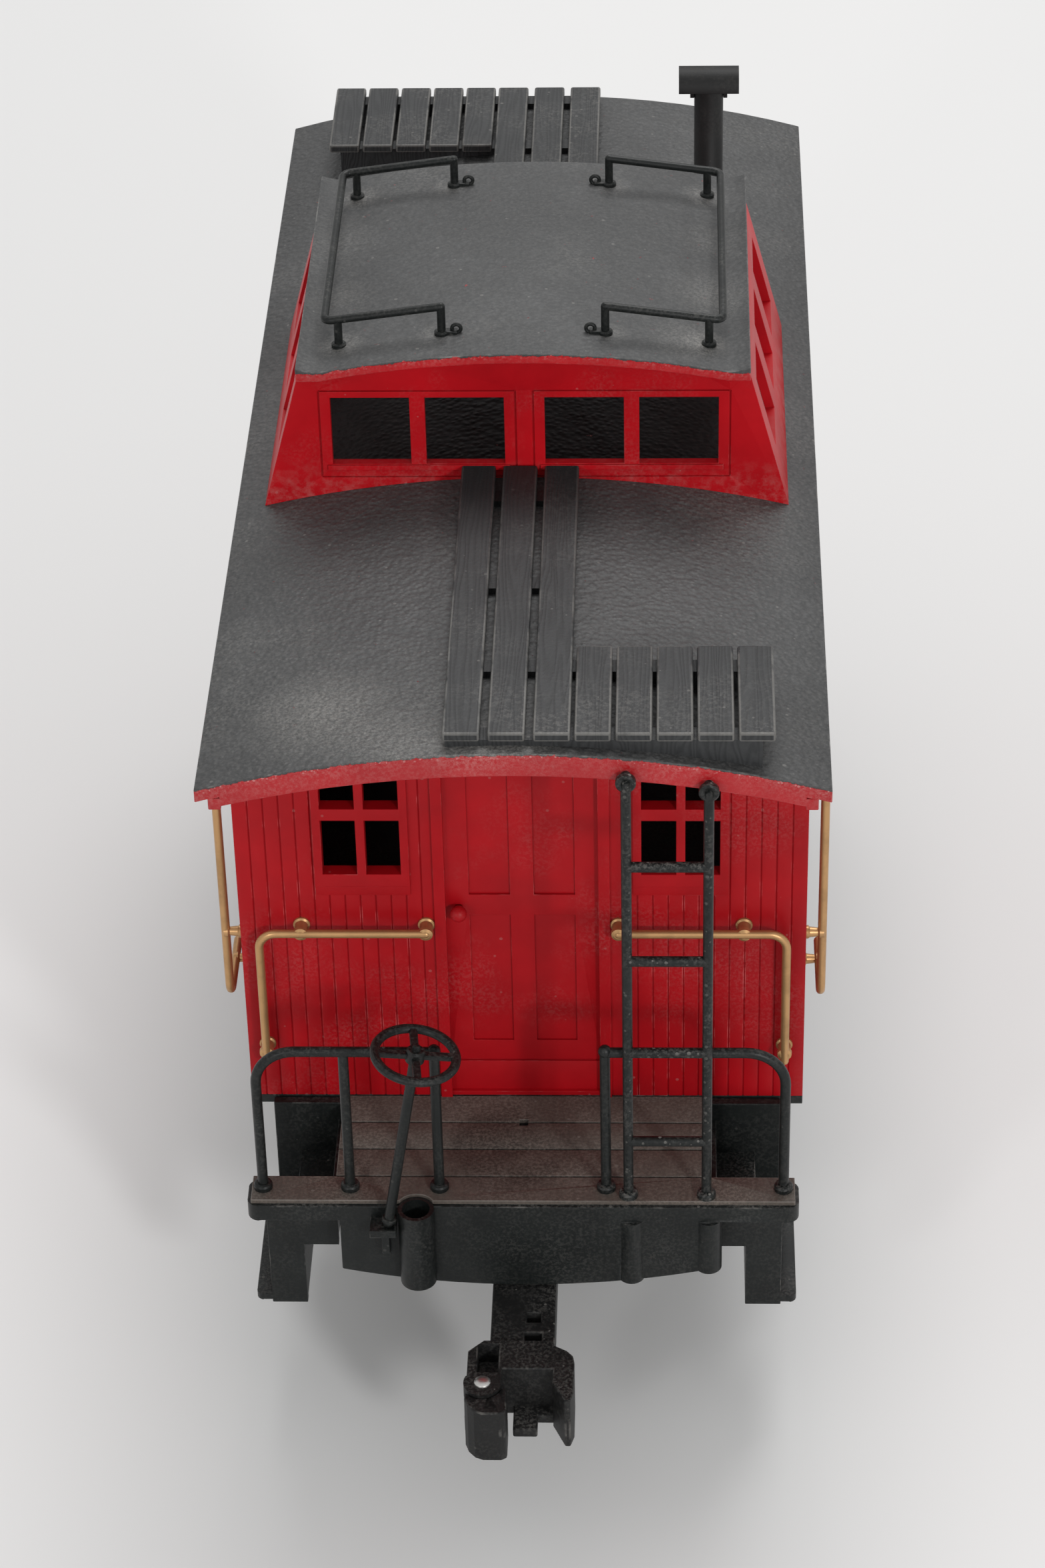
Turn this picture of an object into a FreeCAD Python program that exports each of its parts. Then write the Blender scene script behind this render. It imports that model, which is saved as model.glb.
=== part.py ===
"""Four-wheel bobber caboose in 1:22.5 scale: body, roof, platforms, running gear and couplers.

Frame: X across the car, Y along it, +Z up, millimetres.  The origin is on the floor under the middle of
the car, at the bottom of the wheel flanges.  The "front" end is the one at -Y.  Everything at the front
end is made once and turned half a turn about Z for the rear end; only the smokejack has no twin.
"""
import FreeCAD, Part
import math
import os

V = FreeCAD.Vector
X_AXIS, Y_AXIS, Z_AXIS = V(1, 0, 0), V(0, 1, 0), V(0, 0, 1)

# ---- Overall sizes ----
ROOF_LENGTH = 267.6
ROOF_WIDTH = 120.0
ROOF_RISE = 8.4              # crown above the eaves
EAVE_HEIGHT = 160.0          # top of the roof plate at its long edges
FLOOR_HEIGHT = 60.6          # top of the platform boards, bottom of the body walls
PLATFORM_DEPTH = 29.2        # from the roof's end edge back to the end wall
ROOF_OVERHANG = 3.1          # roof edge beyond the side walls

# ---- Roof ----
ROOF_PLATE = 2.9
FASCIA_DROP = 2.25           # end fascia below the roof plate
FASCIA_THICK = 2.4
EAVE_BLOCK = 2.4             # width of the eave strips that end beside the fascia
EAVE_BLOCK_DROP = 2.4

# ---- Body walls ----
WALL = 2.4
BOARD_PITCH = 3.1            # tongue-and-groove siding
BOARD_GROOVE = 0.2
CASING = 0.7                 # how far trim stands proud of the siding
PANE_W, PANE_H = 6.9, 13.3   # end and side windows have 2 x 2 openings
MUNTIN_W, MUNTIN_H = 1.8, 2.8
WINDOW_HEAD_DROP = 12.2      # window openings end this far below the eaves
WINDOW_FRAME = 1.7           # casing around the openings
WINDOW_APRON = 3.0           # casing below the openings
SILL_H = 2.4
END_WINDOW_IN = 25.2         # middle of the end windows in from the body corner
SIDE_WINDOW_IN = 44.6        # middle of the side windows in from the body corner
DOOR_HALF = 15.3
DOOR_CASING = 2.3
DOOR_HEAD_DROP = 10.0        # top of the door below the eaves
DOOR_RECESS = 0.9
DOOR_PANEL_X = (2.4, 10.6)
DOOR_PANEL_DEPTH = 0.5
DOOR_PANEL_LOW, DOOR_PANEL_TOP = 14.0, 6.0     # above the floor, below the door head
DOOR_RAIL_LOW, DOOR_RAIL_HIGH = 0.52, 0.577    # middle rail, as shares of the door's height
KICK_LINE_LOW, KICK_LINE_HIGH, KICK_LINE_DEPTH = 8.5, 9.0, 0.35
KNOB_X, KNOB_R, KNOB_OUT = -12.7, 1.7, 2.2
KNOB_UP = 48.4               # above the floor
CORNICE_GAP = 0.4

# ---- Cupola ----
CUPOLA_LENGTH = 73.4
CUPOLA_BASE_W = 107.8
CUPOLA_SLOPE = 0.265         # side walls lean in by this much per unit of height
CUPOLA_HEIGHT = 31.5         # crown of the cupola roof above the crown of the main roof
CUPOLA_ROOF_RISE = 4.15
CUPOLA_ROOF_FLAT = 41.3      # half width where the arch turns up
CUPOLA_EAVE_W = 91.4
CUPOLA_LIP = 0.95            # how far the eaves turn up
CUPOLA_PLATE = 2.2
CUPOLA_OVERHANG = 4.2
CUPOLA_WALL = 2.0
CUPOLA_PANE_W, CUPOLA_PANE_H = 16.1, 15.7
CUPOLA_SILL_UP = 3.3         # windows start above the crown of the main roof
CUPOLA_SILL_OUT, CUPOLA_SILL_H = 0.5, 1.1
CUPOLA_PANE_IN, CUPOLA_PANE_GAP = 4.1, 3.1
CUPOLA_GROOVE = 0.18         # half the width of the outline round each window pair
CUPOLA_OUTLINE = (2.3, 3.0, 1.6)   # outline beside, below and above the windows
CUPOLA_SIDE_PANE = 15.0
CUPOLA_SIDE_PITCH = 22.2

# ---- Roof walks ----
WALK_TOP = 3.3               # board tops above the crown of the roof
PLANK_T = 2.0
LONG_PLANK_W = 7.0
LONG_PLANK_PITCH = 8.5
WALK_OFFSET = -1.0           # middle of the three long planks from the centre line
SHORT_PLANK_W = 6.9
SHORT_PLANK_PITCH = 7.68
SHORT_PLANKS = 5
SHORT_PLANK_L = 29.2
WALK_INSET = 2.0             # plank ends behind the roof's end edge
PLANK_EDGE = 0.4
LONG_TO_SHORT = 0.8          # short planks start this far inside the long planks' pitch
CLEAT_W = 4.0
CLEAT_INSET = (0.8, 2.0)     # outer and inner cleat under the short planks
CLEAT_BACK = (52.0, 84.0)    # further cleats, behind the plank ends
CLEAT_IN = (0.5, 2.4)        # cleat ends in from the planks' left and right edges

# ---- Cupola roof railings ----
RAIL_D = 1.7
CUPOLA_RAIL_H = 6.2
CUPOLA_RAIL_POST_X = (16.5, 37.4)
CUPOLA_RAIL_SIDE_X = 40.2
CUPOLA_RAIL_END_Y = 31.4

# ---- Smokejack ----
JACK_X = 38.0
JACK_BEHIND = 35.5           # behind the cupola's end wall
JACK_R, JACK_WALL, JACK_BORE = 3.2, 0.8, 10.0
JACK_RISE = 33.8             # top of the stem above the crown of the roof
JACK_COLLAR_R, JACK_COLLAR_H = 4.5, 1.6
HOOD_LENGTH, HOOD_R, HOOD_T = 13.2, 4.3, 0.9
HOOD_DROP = 0.3              # hood's axis below the top of the stem
STRAP_T, STRAP_W, STRAP_DROP = 0.9, 2.0, 2.6

# ---- End platforms ----
NOSE_OUT = 4.3               # platform edge in front of the roof's end edge
DECK_IN = 1.4                # platform ends in from the body's side walls
DECK_T = 1.0
DECK_INSET = 0.8
SLAB_T = 3.9
SLAB_CORNER = 2.4
FRONT_PLANK = 8.15
PLANKS_BEHIND = 3
SEAM, SEAM_DEPTH = 0.35, 0.4
HOLE_W = 1.8                 # square hole in the deck
HOLE_X = -0.4
BEAM_T = 2.8
BEAM_DROP_MID, BEAM_DROP_END = 22.1, 17.9      # bottom of the beam below the boards
BOSS_R = 2.7
BOSS_SHIFT = 0.5             # boss axis outboard of the ladder stile
BOSS_PROUD = 1.1             # boss in front of the beam's face

# ---- Stake pocket on the end beam ----
POCKET_X = -21.35
POCKET_R, POCKET_BORE_R = 3.65, 2.8
POCKET_OUT = 1.1             # pocket axis in front of the beam face
POCKET_DROP = 19.5           # closed bottom below the boards
POCKET_RIM = 0.6             # rim below the boards
POCKET_DEPTH = 12.0

# ---- Steps ----
STRINGER_T = 2.0
STRINGER_IN = 3.2            # in from the platform's end
LEG_W = 7.3                  # lower part of a stringer
TREAD_RUN = 7.1              # upper tread, from the well's inner side to the leg
UPPER_TREAD_NOSE = 2.2
UPPER_TREAD_DROP = 13.3      # below the boards
LOWER_TREAD_DROP = 29.8
TREAD_T = 1.6
TREAD_CORNER = 1.5
STRINGER_UNDER = 1.3         # stringer below the upper tread's underside
LEG_UNDER = 0.7              # leg below the lower tread's underside
RISER_T = 1.2
STEP_FRONT_SET = 5.3         # front stringer behind the platform edge

# ---- End railings, ladder, grab rails ----
POST_D = 2.1
COLLAR_R, COLLAR_H = 1.9, 1.5
RAILING_Y = 0.4              # behind the roof's end edge
RAILING_H = 35.4             # above the boards
RAILING_INNER_X = 16.8
RAILING_SPAN = 17.6          # outer post to the middle one
RAILING_IN = 3.1             # outer post in from the platform's end
RAILING_BEND = 8.0
KNOB_BALL_R = 1.35
LADDER_X = (21.3, 36.9)
LADDER_OUT = 1.7             # ladder plane in front of the roof's end edge
STILE_D = 2.0
RUNG_D = 2.1
RUNGS = 4
RUNG_TOP_DROP, RUNG_FOOT = 16.7, 14.3          # top rung below the eaves, lowest above the boards
PAD_R, PAD_T, PAD_DROP = 1.95, 1.6, 4.3
PAD_RIVET_R, PAD_RIVET_H = 0.6, 0.25
PEG_R, PEG_UP = 0.95, 0.6
GRAB_D = 1.8
GRAB_OFF = 3.3               # rail centre off the wall
GRAB_BEND = 3.6
GRAB_BOSS_R = 1.7
GRAB_BOSS_TAPER = 0.55
END_GRAB_CLEAR = 1.7         # inner end of the rail from the door casing
END_GRAB_EDGE = 4.0          # vertical arm in from the body corner
END_GRAB_BOSS = 8.5          # second boss in from the vertical arm
END_GRAB_UP, END_GRAB_LOW_UP, END_GRAB_LOW_BOSS = 44.9, 12.2, 14.0     # above the floor
SIDE_GRAB_SET = 2.8          # vertical arm behind the body corner
SIDE_GRAB_TOP, SIDE_GRAB_TOP_BOSS = 20.0, 23.0  # below the eaves
SIDE_GRAB_LOW, SIDE_GRAB_MID_BOSS = 24.0, 40.8  # above the floor
SIDE_GRAB_BOSS_SHARE = 0.8
SIDE_GRAB_RUN, SIDE_GRAB_RUN_BOSS = 18.5, 12.5

# ---- Hand brake ----
STAFF_D = 2.1
STAFF_FOOT_X, STAFF_FOOT_OUT = -27.2, 6.6
STAFF_LEAN = 9.0             # degrees, towards the centre line
BRAKE_WHEEL_UP = 40.4        # above the boards
BRAKE_WHEEL_R, BRAKE_RIM_R = 9.0, 0.95
BRAKE_HUB_R, BRAKE_HUB_H = 1.9, 3.0
BRAKE_SPOKES, BRAKE_SPOKE_R, BRAKE_SPOKE_TURN = 4, 0.8, 6.0
BRAKE_NUT_R, BRAKE_NUT_H = 0.75, 1.0
STAFF_RING, STAFF_RING_H, STAFF_SEAT = 0.5, 1.0, 0.9
BRACKET_W, BRACKET_T = 5.6, 1.8
BRACKET_WEB, BRACKET_TIP = 5.6, 7.8
BRACKET_DROP = 3.6           # top of the bracket below the boards
BRACKET_LIP = 1.2
BRACKET_WEB_SET, BRACKET_TIP_SET = 1.6, 3.0
BRACKET_WEB_X = (-1.2, 0.4)
SHAFT_CLEARANCE = 0.05       # radial, running fits

# ---- Couplers ----
PIVOT_SET = 16.0             # swing pivot behind the roof's end edge
SHANK_W, SHANK_T = 13.0, 7.6
SHANK_DROP = 1.6             # top of the shank below the middle of the end beam
SHANK_SLOT = (0.7, 3.5, 10.6, 13.5)            # left, right, inner and outer end of the pocket
SHANK_NOTCH = (0.4, 3.8, 16.5)
SHANK_SLOT_DEPTH = 4.0
POST_R = 2.4
MOUNT_PAD = (14.0, 10.0, 9.0, 3.0)             # half width, in front, behind, thickness
MOUNT_DRUM_R, MOUNT_RIB_T, MOUNT_RIB_UP = 6.0, 1.8, 4.0
PIVOT_SCREW_L = 12.0
PIVOT_SCREW_R, PIVOT_HEAD_R, PIVOT_HEAD_T = 1.3, 4.2, 1.6
HEAD_BACK, HEAD_FRONT = 20.0, 28.0
HEAD_LEFT, HEAD_RIGHT = -10.8, 10.6
HEAD_ABOVE_SHANK, HEAD_H = 1.1, 13.6
HEAD_UNDERCUT = 1.0          # head's underside above the knuckle's
HEAD_POCKET = (-8.8, -4.6, 1.0, 5.0)           # left, right, wall behind, depth
LIP_T = 2.2
GUARD_TIP, GUARD_IN = 37.2, 6.3
SHOULDER_DROP = 1.3          # right shoulder of the head ahead of its left one
LIP_LEFT, LIP_RIGHT = -1.7, 3.2
LUG_R, LUG_T = 3.8, 3.2
KNUCKLE_PIN_X, KNUCKLE_PIN_OUT, KNUCKLE_PIN_R = -7.6, 32.0, 1.2
PIN_HEAD_T = 0.8
KNUCKLE_GAP = 0.3
KNUCKLE_TIP = 40.2
KNUCKLE_LEFT, KNUCKLE_RIGHT = -11.1, -2.7

# ---- Running gear ----
WHEELBASE = 100.0
TREAD_R = 15.5
FLANGE_DEPTH = 3.0
BACK_TO_BACK = 40.6
WHEEL_W, FLANGE_W = 6.4, 1.6
AXLE_R = 1.5
BUSH_R = 2.6
FRAME_IN, FRAME_T = 30.4, 3.0
BOX_HALF, BOX_T = 5.0, 3.4
FRAME_DROP = 14.6            # top of the side frames below the floor
FRAME_BEYOND = 30.0          # side frame past the axles
FRAME_RAIL_H = 5.0
PEDESTAL_TOP, PEDESTAL_LOW, PEDESTAL_UNDER = 17.0, 9.0, 3.0
BOX_LID, BOX_LID_T = 0.8, 0.8
SPRING_LEAVES, SPRING_HALF, SPRING_STEP = 4, 17.0, 3.4
LEAF_T, LEAF_PITCH, LEAF_W = 1.4, 1.6, 2.6
SPRING_DROP = 7.5            # top leaf below the top of the frame
BUCKLE_HALF, BUCKLE_T, BUCKLE_UP = 2.2, 3.1, 1.0
SILL_W, SILL_IN = 4.2, 0.6
CROSS_HALF, CROSS_Y, CROSS_END = 2.0, 20.0, 4.0
CROSS_UP = 2.0
FLOOR_PLATE_T = 2.1
SCREW_R, SCREW_HEAD_R, SCREW_HEAD_T = 1.4, 2.6, 1.6
SCREW_IN_X, SCREW_IN_Y = 8.9, 12.6             # in from the walls' outer faces
SCREW_RECESS_H, SCREW_RECESS_WALL, SCREW_RECESS_GAP = 3.0, 1.4, 0.2
SCREW_SLOT_W, SCREW_SLOT_DEPTH = 0.7, 0.6
SCREW_RIB_T = 2.0
SCREW_REACH = 8.0            # into the body posts
SCREW_POST_R, SCREW_POST_H = 3.2, 14.0
FIT_GAP = 0.3                # between pieces that must not rub

# ---- Values worked out from the sizes above ----
ROOF_END = ROOF_LENGTH / 2
BODY_END = ROOF_END - PLATFORM_DEPTH
BODY_HALF = ROOF_WIDTH / 2 - ROOF_OVERHANG
CROWN_Z = EAVE_HEIGHT + ROOF_RISE
WINDOW_H = 2 * PANE_H + MUNTIN_H
WINDOW_HALF = PANE_W + MUNTIN_W / 2 + WINDOW_FRAME
WINDOW_SILL_Z = EAVE_HEIGHT - WINDOW_HEAD_DROP - WINDOW_H
WINDOW_TOP_Z = WINDOW_SILL_Z + WINDOW_H + WINDOW_FRAME
END_WINDOW_X = BODY_HALF - END_WINDOW_IN
SIDE_WINDOW_Y = BODY_END - SIDE_WINDOW_IN
DOOR_HEAD_Z = EAVE_HEIGHT - DOOR_HEAD_DROP
KNOB_Z = FLOOR_HEIGHT + KNOB_UP
CUPOLA_SILL_Z = CROWN_Z + CUPOLA_SILL_UP
JACK_Y = CUPOLA_LENGTH / 2 + JACK_BEHIND
JACK_TOP_Z = CROWN_Z + JACK_RISE
SCREW_X, SCREW_Y = BODY_HALF - SCREW_IN_X, BODY_END - SCREW_IN_Y
PLATFORM_UNDER_Z = FLOOR_HEIGHT - DECK_T - SLAB_T
DECK_HALF = BODY_HALF - DECK_IN
STRINGER_OUT = DECK_HALF - STRINGER_IN
LEG_IN = STRINGER_OUT - LEG_W
WELL_X = LEG_IN - TREAD_RUN
UPPER_TREAD_Z = FLOOR_HEIGHT - UPPER_TREAD_DROP
UPPER_TREAD_OUT = LEG_IN + UPPER_TREAD_NOSE
LOWER_TREAD_Z = FLOOR_HEIGHT - LOWER_TREAD_DROP
LOWER_TREAD_OUT = DECK_HALF
STRINGER_MID_Z = UPPER_TREAD_Z - TREAD_T - STRINGER_UNDER
STRINGER_BOTTOM_Z = LOWER_TREAD_Z - TREAD_T - LEG_UNDER
BEAM_HALF = LADDER_X[1]
BEAM_BOTTOM_MID = FLOOR_HEIGHT - BEAM_DROP_MID
BEAM_BOTTOM_END = FLOOR_HEIGHT - BEAM_DROP_END
POCKET_BOTTOM_Z = FLOOR_HEIGHT - POCKET_DROP
POCKET_TOP_Z = FLOOR_HEIGHT - POCKET_RIM
RAILING_Z = FLOOR_HEIGHT + RAILING_H
RAILING_OUTER_X = DECK_HALF - RAILING_IN
RAILING_POSTS = (RAILING_INNER_X, RAILING_OUTER_X - RAILING_SPAN, RAILING_OUTER_X)
RUNG_TOP_Z = EAVE_HEIGHT - RUNG_TOP_DROP
RUNG_PITCH = (RUNG_TOP_Z - FLOOR_HEIGHT - RUNG_FOOT) / (RUNGS - 1)
END_GRAB_IN = DOOR_HALF + DOOR_CASING + END_GRAB_CLEAR
END_GRAB_OUT = BODY_HALF - END_GRAB_EDGE
END_GRAB_Z = FLOOR_HEIGHT + END_GRAB_UP
END_GRAB_LOW_Z = FLOOR_HEIGHT + END_GRAB_LOW_UP
SIDE_GRAB_TOP_Z = EAVE_HEIGHT - SIDE_GRAB_TOP
SIDE_GRAB_LOW_Z = FLOOR_HEIGHT + SIDE_GRAB_LOW
BRAKE_WHEEL_Z = FLOOR_HEIGHT + BRAKE_WHEEL_UP
BRACKET_Z = FLOOR_HEIGHT - BRACKET_DROP
SHANK_TOP_Z = BEAM_BOTTOM_MID - SHANK_DROP
SHANK_LOW_Z = SHANK_TOP_Z - SHANK_T
HEAD_TOP_Z = SHANK_TOP_Z + HEAD_ABOVE_SHANK
HEAD_BOTTOM_Z = HEAD_TOP_Z - HEAD_H
HEAD_LOW_Z = HEAD_BOTTOM_Z + HEAD_UNDERCUT
PIVOT_SEAT_Z = SHANK_LOW_Z - FIT_GAP
FRAME_TOP_Z = FLOOR_HEIGHT - FRAME_DROP
FLOOR_LOW_Z = FLOOR_HEIGHT - FLOOR_PLATE_T
SCREW_SEAT_Z = FLOOR_LOW_Z - SCREW_RECESS_H + SCREW_HEAD_T
ROOF_R = ((ROOF_WIDTH / 2) ** 2 + ROOF_RISE ** 2) / (2 * ROOF_RISE)
CUPOLA_END = CUPOLA_LENGTH / 2
CUPOLA_CROWN_Z = CROWN_Z + CUPOLA_HEIGHT
CUPOLA_R = (CUPOLA_ROOF_FLAT ** 2 + CUPOLA_ROOF_RISE ** 2) / (2 * CUPOLA_ROOF_RISE)
PLATFORM_EDGE = ROOF_END + NOSE_OUT
AXLE_Z = TREAD_R + FLANGE_DEPTH
STAFF_ANGLE = math.radians(STAFF_LEAN)


def box(x0, x1, y0, y1, z0, z1):
    """Axis-aligned block between two corners, in any order."""
    return Part.makeBox(abs(x1 - x0), abs(y1 - y0), abs(z1 - z0), V(min(x0, x1), min(y0, y1), min(z0, z1)))


def rod(start, end, radius):
    """Round bar between two points."""
    run = end - start
    return Part.makeCylinder(radius, run.Length, start, run)


def fuse(shapes):
    """One clean solid from touching shapes."""
    whole = shapes[0]
    if len(shapes) > 1:
        whole = shapes[0].multiFuse(shapes[1:])
    return whole.removeSplitter()


def cut(shape, tools):
    return shape.cut(Part.makeCompound(tools)).removeSplitter()


def turned(shape):
    """The same piece at the rear end of the car."""
    copy = shape.copy()
    copy.rotate(V(0, 0, 0), Z_AXIS, 180)
    return copy


def mirrored(shape):
    """The same piece on the other side of the car."""
    return shape.mirror(V(0, 0, 0), X_AXIS)


def prism_y(points, y0, y1):
    """Closed outline of (x, z) points and arc mid-points, pushed from y0 to y1."""
    edges = []
    count = len(points)
    index = 0
    while index < count:
        here = points[index]
        after = points[(index + 1) % count]
        start = V(here[0], y0, here[1])
        if len(after) == 3:
            end = points[(index + 2) % count]
            edges.append(Part.Arc(start, V(after[0], y0, after[1]), V(end[0], y0, end[1])).toShape())
            index += 2
        else:
            edges.append(Part.LineSegment(start, V(after[0], y0, after[1])).toShape())
            index += 1
    return Part.Face(Part.Wire(edges)).extrude(V(0, y1 - y0, 0))


def plan_prism(points, z0, z1):
    """Closed polygon of (x, y) points pushed from z0 to z1."""
    corners = [V(x, y, z0) for x, y in points]
    return Part.Face(Part.makePolygon(corners + corners[:1])).extrude(V(0, 0, z1 - z0))


def bent_rod(points, radius, bend):
    """Round bar through the points, with every inner corner bent to the same radius."""
    edges = []
    start = points[0]
    for before, corner, after in zip(points, points[1:], points[2:]):
        inward = (before - corner).normalize()
        outward = (after - corner).normalize()
        half = (math.pi - inward.getAngle(outward)) / 2
        setback = bend * math.tan(half)
        first = corner + inward * setback
        last = corner + outward * setback
        middle = (inward + outward).normalize()
        apex = corner + middle * (bend / math.cos(half) - bend)
        edges.append(Part.LineSegment(start, first).toShape())
        edges.append(Part.Arc(first, apex, last).toShape())
        start = last
    edges.append(Part.LineSegment(start, points[-1]).toShape())
    path = Part.Wire(edges)
    profile = Part.Wire(Part.Circle(points[0], points[1] - points[0], radius).toShape())
    return path.makePipeShell([profile], True, False)


def roof_z(x):
    """Height of the main roof's top surface at x."""
    return CROWN_Z - ROOF_R + math.sqrt(ROOF_R ** 2 - x ** 2)


def cupola_roof_z(x):
    """Height of the cupola roof's top surface at x, on the arch."""
    return CUPOLA_CROWN_Z - CUPOLA_R + math.sqrt(CUPOLA_R ** 2 - x ** 2)


def under_arch(half, y0, y1, z0, drop):
    """Block from z0 up to the roof's arch lowered by drop."""
    top = roof_z(half) - drop
    return prism_y([(-half, z0), (half, z0), (half, top), (0, CROWN_Z - drop, "arc"), (-half, top)], y0, y1)


def window_tools(centre, sill, along):
    """Four pane openings through a wall, across X or across Y."""
    tools = []
    for side in (-1, 1):
        for row in (0, 1):
            inner = centre + side * MUNTIN_W / 2
            outer = inner + side * PANE_W
            low = sill + row * (PANE_H + MUNTIN_H)
            tools.append(along(inner, outer, low, low + PANE_H))
    return tools


# ---- Body ----
def screw_places():
    """Where the four body screws go up through the floor."""
    return [(x, y) for x in (-SCREW_X, SCREW_X) for y in (-SCREW_Y, SCREW_Y)]


def screw_posts():
    """Posts inside the body that take the body screws, each with a rib to the side wall."""
    posts = []
    for x, y in screw_places():
        post = Part.makeCylinder(SCREW_POST_R, SCREW_POST_H, V(x, y, FLOOR_HEIGHT))
        wall_x = math.copysign(BODY_HALF - WALL / 2, x)
        rib = SCREW_RIB_T / 2
        posts += [post, box(x, wall_x, y - rib, y + rib, FLOOR_HEIGHT, FLOOR_HEIGHT + SCREW_POST_H)]
    return posts


def siding_outline(half_x, half_y):
    """Plan outline of the walls with a small groove at each board joint."""
    points = []

    door_skip = DOOR_HALF + DOOR_CASING

    def side(start, along, inward, length, skip):
        boards = max(1, round(length / BOARD_PITCH))
        step = length / boards
        points.append(start)
        for index in range(1, boards):
            where = index * step
            if skip and abs(where - length / 2) < skip:
                continue
            for shift, depth in ((-BOARD_GROOVE, 0), (0, BOARD_GROOVE), (BOARD_GROOVE, 0)):
                points.append((start[0] + along[0] * (where + shift) + inward[0] * depth,
                               start[1] + along[1] * (where + shift) + inward[1] * depth))

    side((-half_x, -half_y), (1, 0), (0, 1), 2 * half_x, door_skip)
    side((half_x, -half_y), (0, 1), (-1, 0), 2 * half_y, 0)
    side((half_x, half_y), (-1, 0), (0, -1), 2 * half_x, door_skip)
    side((-half_x, half_y), (0, -1), (1, 0), 2 * half_y, 0)
    return points


def window_casing(centre, y_out, y_back):
    """Flat casing around an end window with a thinner sill below it."""
    low = WINDOW_SILL_Z - WINDOW_APRON
    x0, x1 = centre - WINDOW_HALF, centre + WINDOW_HALF
    return [box(x0, x1, y_out, y_back, low, WINDOW_TOP_Z),
            box(x0, x1, y_out + CASING / 2, y_back, low - SILL_H, low)]


def end_trim(y_wall):
    """Door casing, window casings and sills on the front end wall."""
    y_out, y_back = y_wall - CASING, y_wall + WALL / 2
    trim = window_casing(-END_WINDOW_X, y_out, y_back) + window_casing(END_WINDOW_X, y_out, y_back)
    head = DOOR_HEAD_Z + DOOR_CASING
    for side in (-1, 1):
        casing_x = side * (DOOR_HALF + DOOR_CASING)
        trim.append(box(side * DOOR_HALF, casing_x, y_out, y_back, FLOOR_HEIGHT, head))
    trim.append(box(-DOOR_HALF, DOOR_HALF, y_out, y_back, DOOR_HEAD_Z, head))
    return trim


def door_panels(y_wall):
    """Recessed field of the moulded door with its four sunk panels and the line above its kick board."""
    face = y_wall + DOOR_RECESS
    door_h = DOOR_HEAD_Z - FLOOR_HEIGHT
    tools = [box(-DOOR_HALF, DOOR_HALF, y_wall - 5, face, FLOOR_HEIGHT + 1.0, DOOR_HEAD_Z)]
    rows = ((FLOOR_HEIGHT + DOOR_PANEL_LOW, FLOOR_HEIGHT + DOOR_RAIL_LOW * door_h),
            (FLOOR_HEIGHT + DOOR_RAIL_HIGH * door_h, DOOR_HEAD_Z - DOOR_PANEL_TOP))
    near, far = DOOR_PANEL_X
    for side in (-1, 1):
        for low, high in rows:
            tools.append(box(side * near, side * far, face - 0.1, face + DOOR_PANEL_DEPTH, low, high))
    tools.append(box(-DOOR_HALF, DOOR_HALF, face - 0.1, face + KICK_LINE_DEPTH,
                     FLOOR_HEIGHT + KICK_LINE_LOW, FLOOR_HEIGHT + KICK_LINE_HIGH))
    return tools


def body_shell():
    wall_y = -BODY_END
    outer = plan_prism(siding_outline(BODY_HALF, BODY_END), FLOOR_HEIGHT, CROWN_Z)
    outer = outer.common(under_arch(BODY_HALF, -BODY_END, BODY_END, FLOOR_HEIGHT, ROOF_PLATE))
    inner = box(-BODY_HALF + WALL, BODY_HALF - WALL, -BODY_END + WALL, BODY_END - WALL,
                FLOOR_HEIGHT - 1, CROWN_Z + 1)
    walls = cut(outer, [inner] + door_panels(wall_y) + [turned(tool) for tool in door_panels(wall_y)])
    pieces = [walls] + screw_posts()
    for piece in end_trim(wall_y):
        pieces += [piece, turned(piece)]
    for y in (-SIDE_WINDOW_Y, SIDE_WINDOW_Y):
        casing = box(BODY_HALF - WALL / 2, BODY_HALF + CASING, y - WINDOW_HALF, y + WINDOW_HALF,
                     WINDOW_SILL_Z - WINDOW_APRON, WINDOW_TOP_Z)
        pieces += [casing, mirrored(casing)]
    cornice_z = roof_z(BODY_HALF) - ROOF_PLATE
    cornice = box(BODY_HALF - WALL / 2, BODY_HALF + CASING, -BODY_END, BODY_END,
                  cornice_z - EAVE_BLOCK_DROP, cornice_z - CORNICE_GAP)
    pieces += [cornice, mirrored(cornice)]
    shell = fuse(pieces)
    tools = []
    for x in (-END_WINDOW_X, END_WINDOW_X):
        def through_end(a, b, low, high):
            return box(a, b, wall_y - 3, wall_y + WALL + 1, low, high)
        tools += window_tools(x, WINDOW_SILL_Z, through_end)
    tools += [turned(tool) for tool in tools]
    for y in (-SIDE_WINDOW_Y, SIDE_WINDOW_Y):
        def through_side(a, b, low, high):
            return box(BODY_HALF - WALL - 1, BODY_HALF + 3, a, b, low, high)
        side_tools = window_tools(y, WINDOW_SILL_Z, through_side)
        tools += side_tools + [mirrored(tool) for tool in side_tools]
    for x, y in screw_places():
        tools.append(Part.makeCylinder(SCREW_R, SCREW_REACH + 1, V(x, y, FLOOR_HEIGHT - 1)))
    return cut(shell, tools)


def door_knobs():
    """Turned knob with its rose on each moulded door."""
    face = -BODY_END + DOOR_RECESS
    middle = V(KNOB_X, face - KNOB_OUT, KNOB_Z)
    knob = fuse([rod(V(KNOB_X, face, KNOB_Z), middle, KNOB_R / 2), Part.makeSphere(KNOB_R, middle)])
    return Part.makeCompound([knob, turned(knob)])


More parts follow.
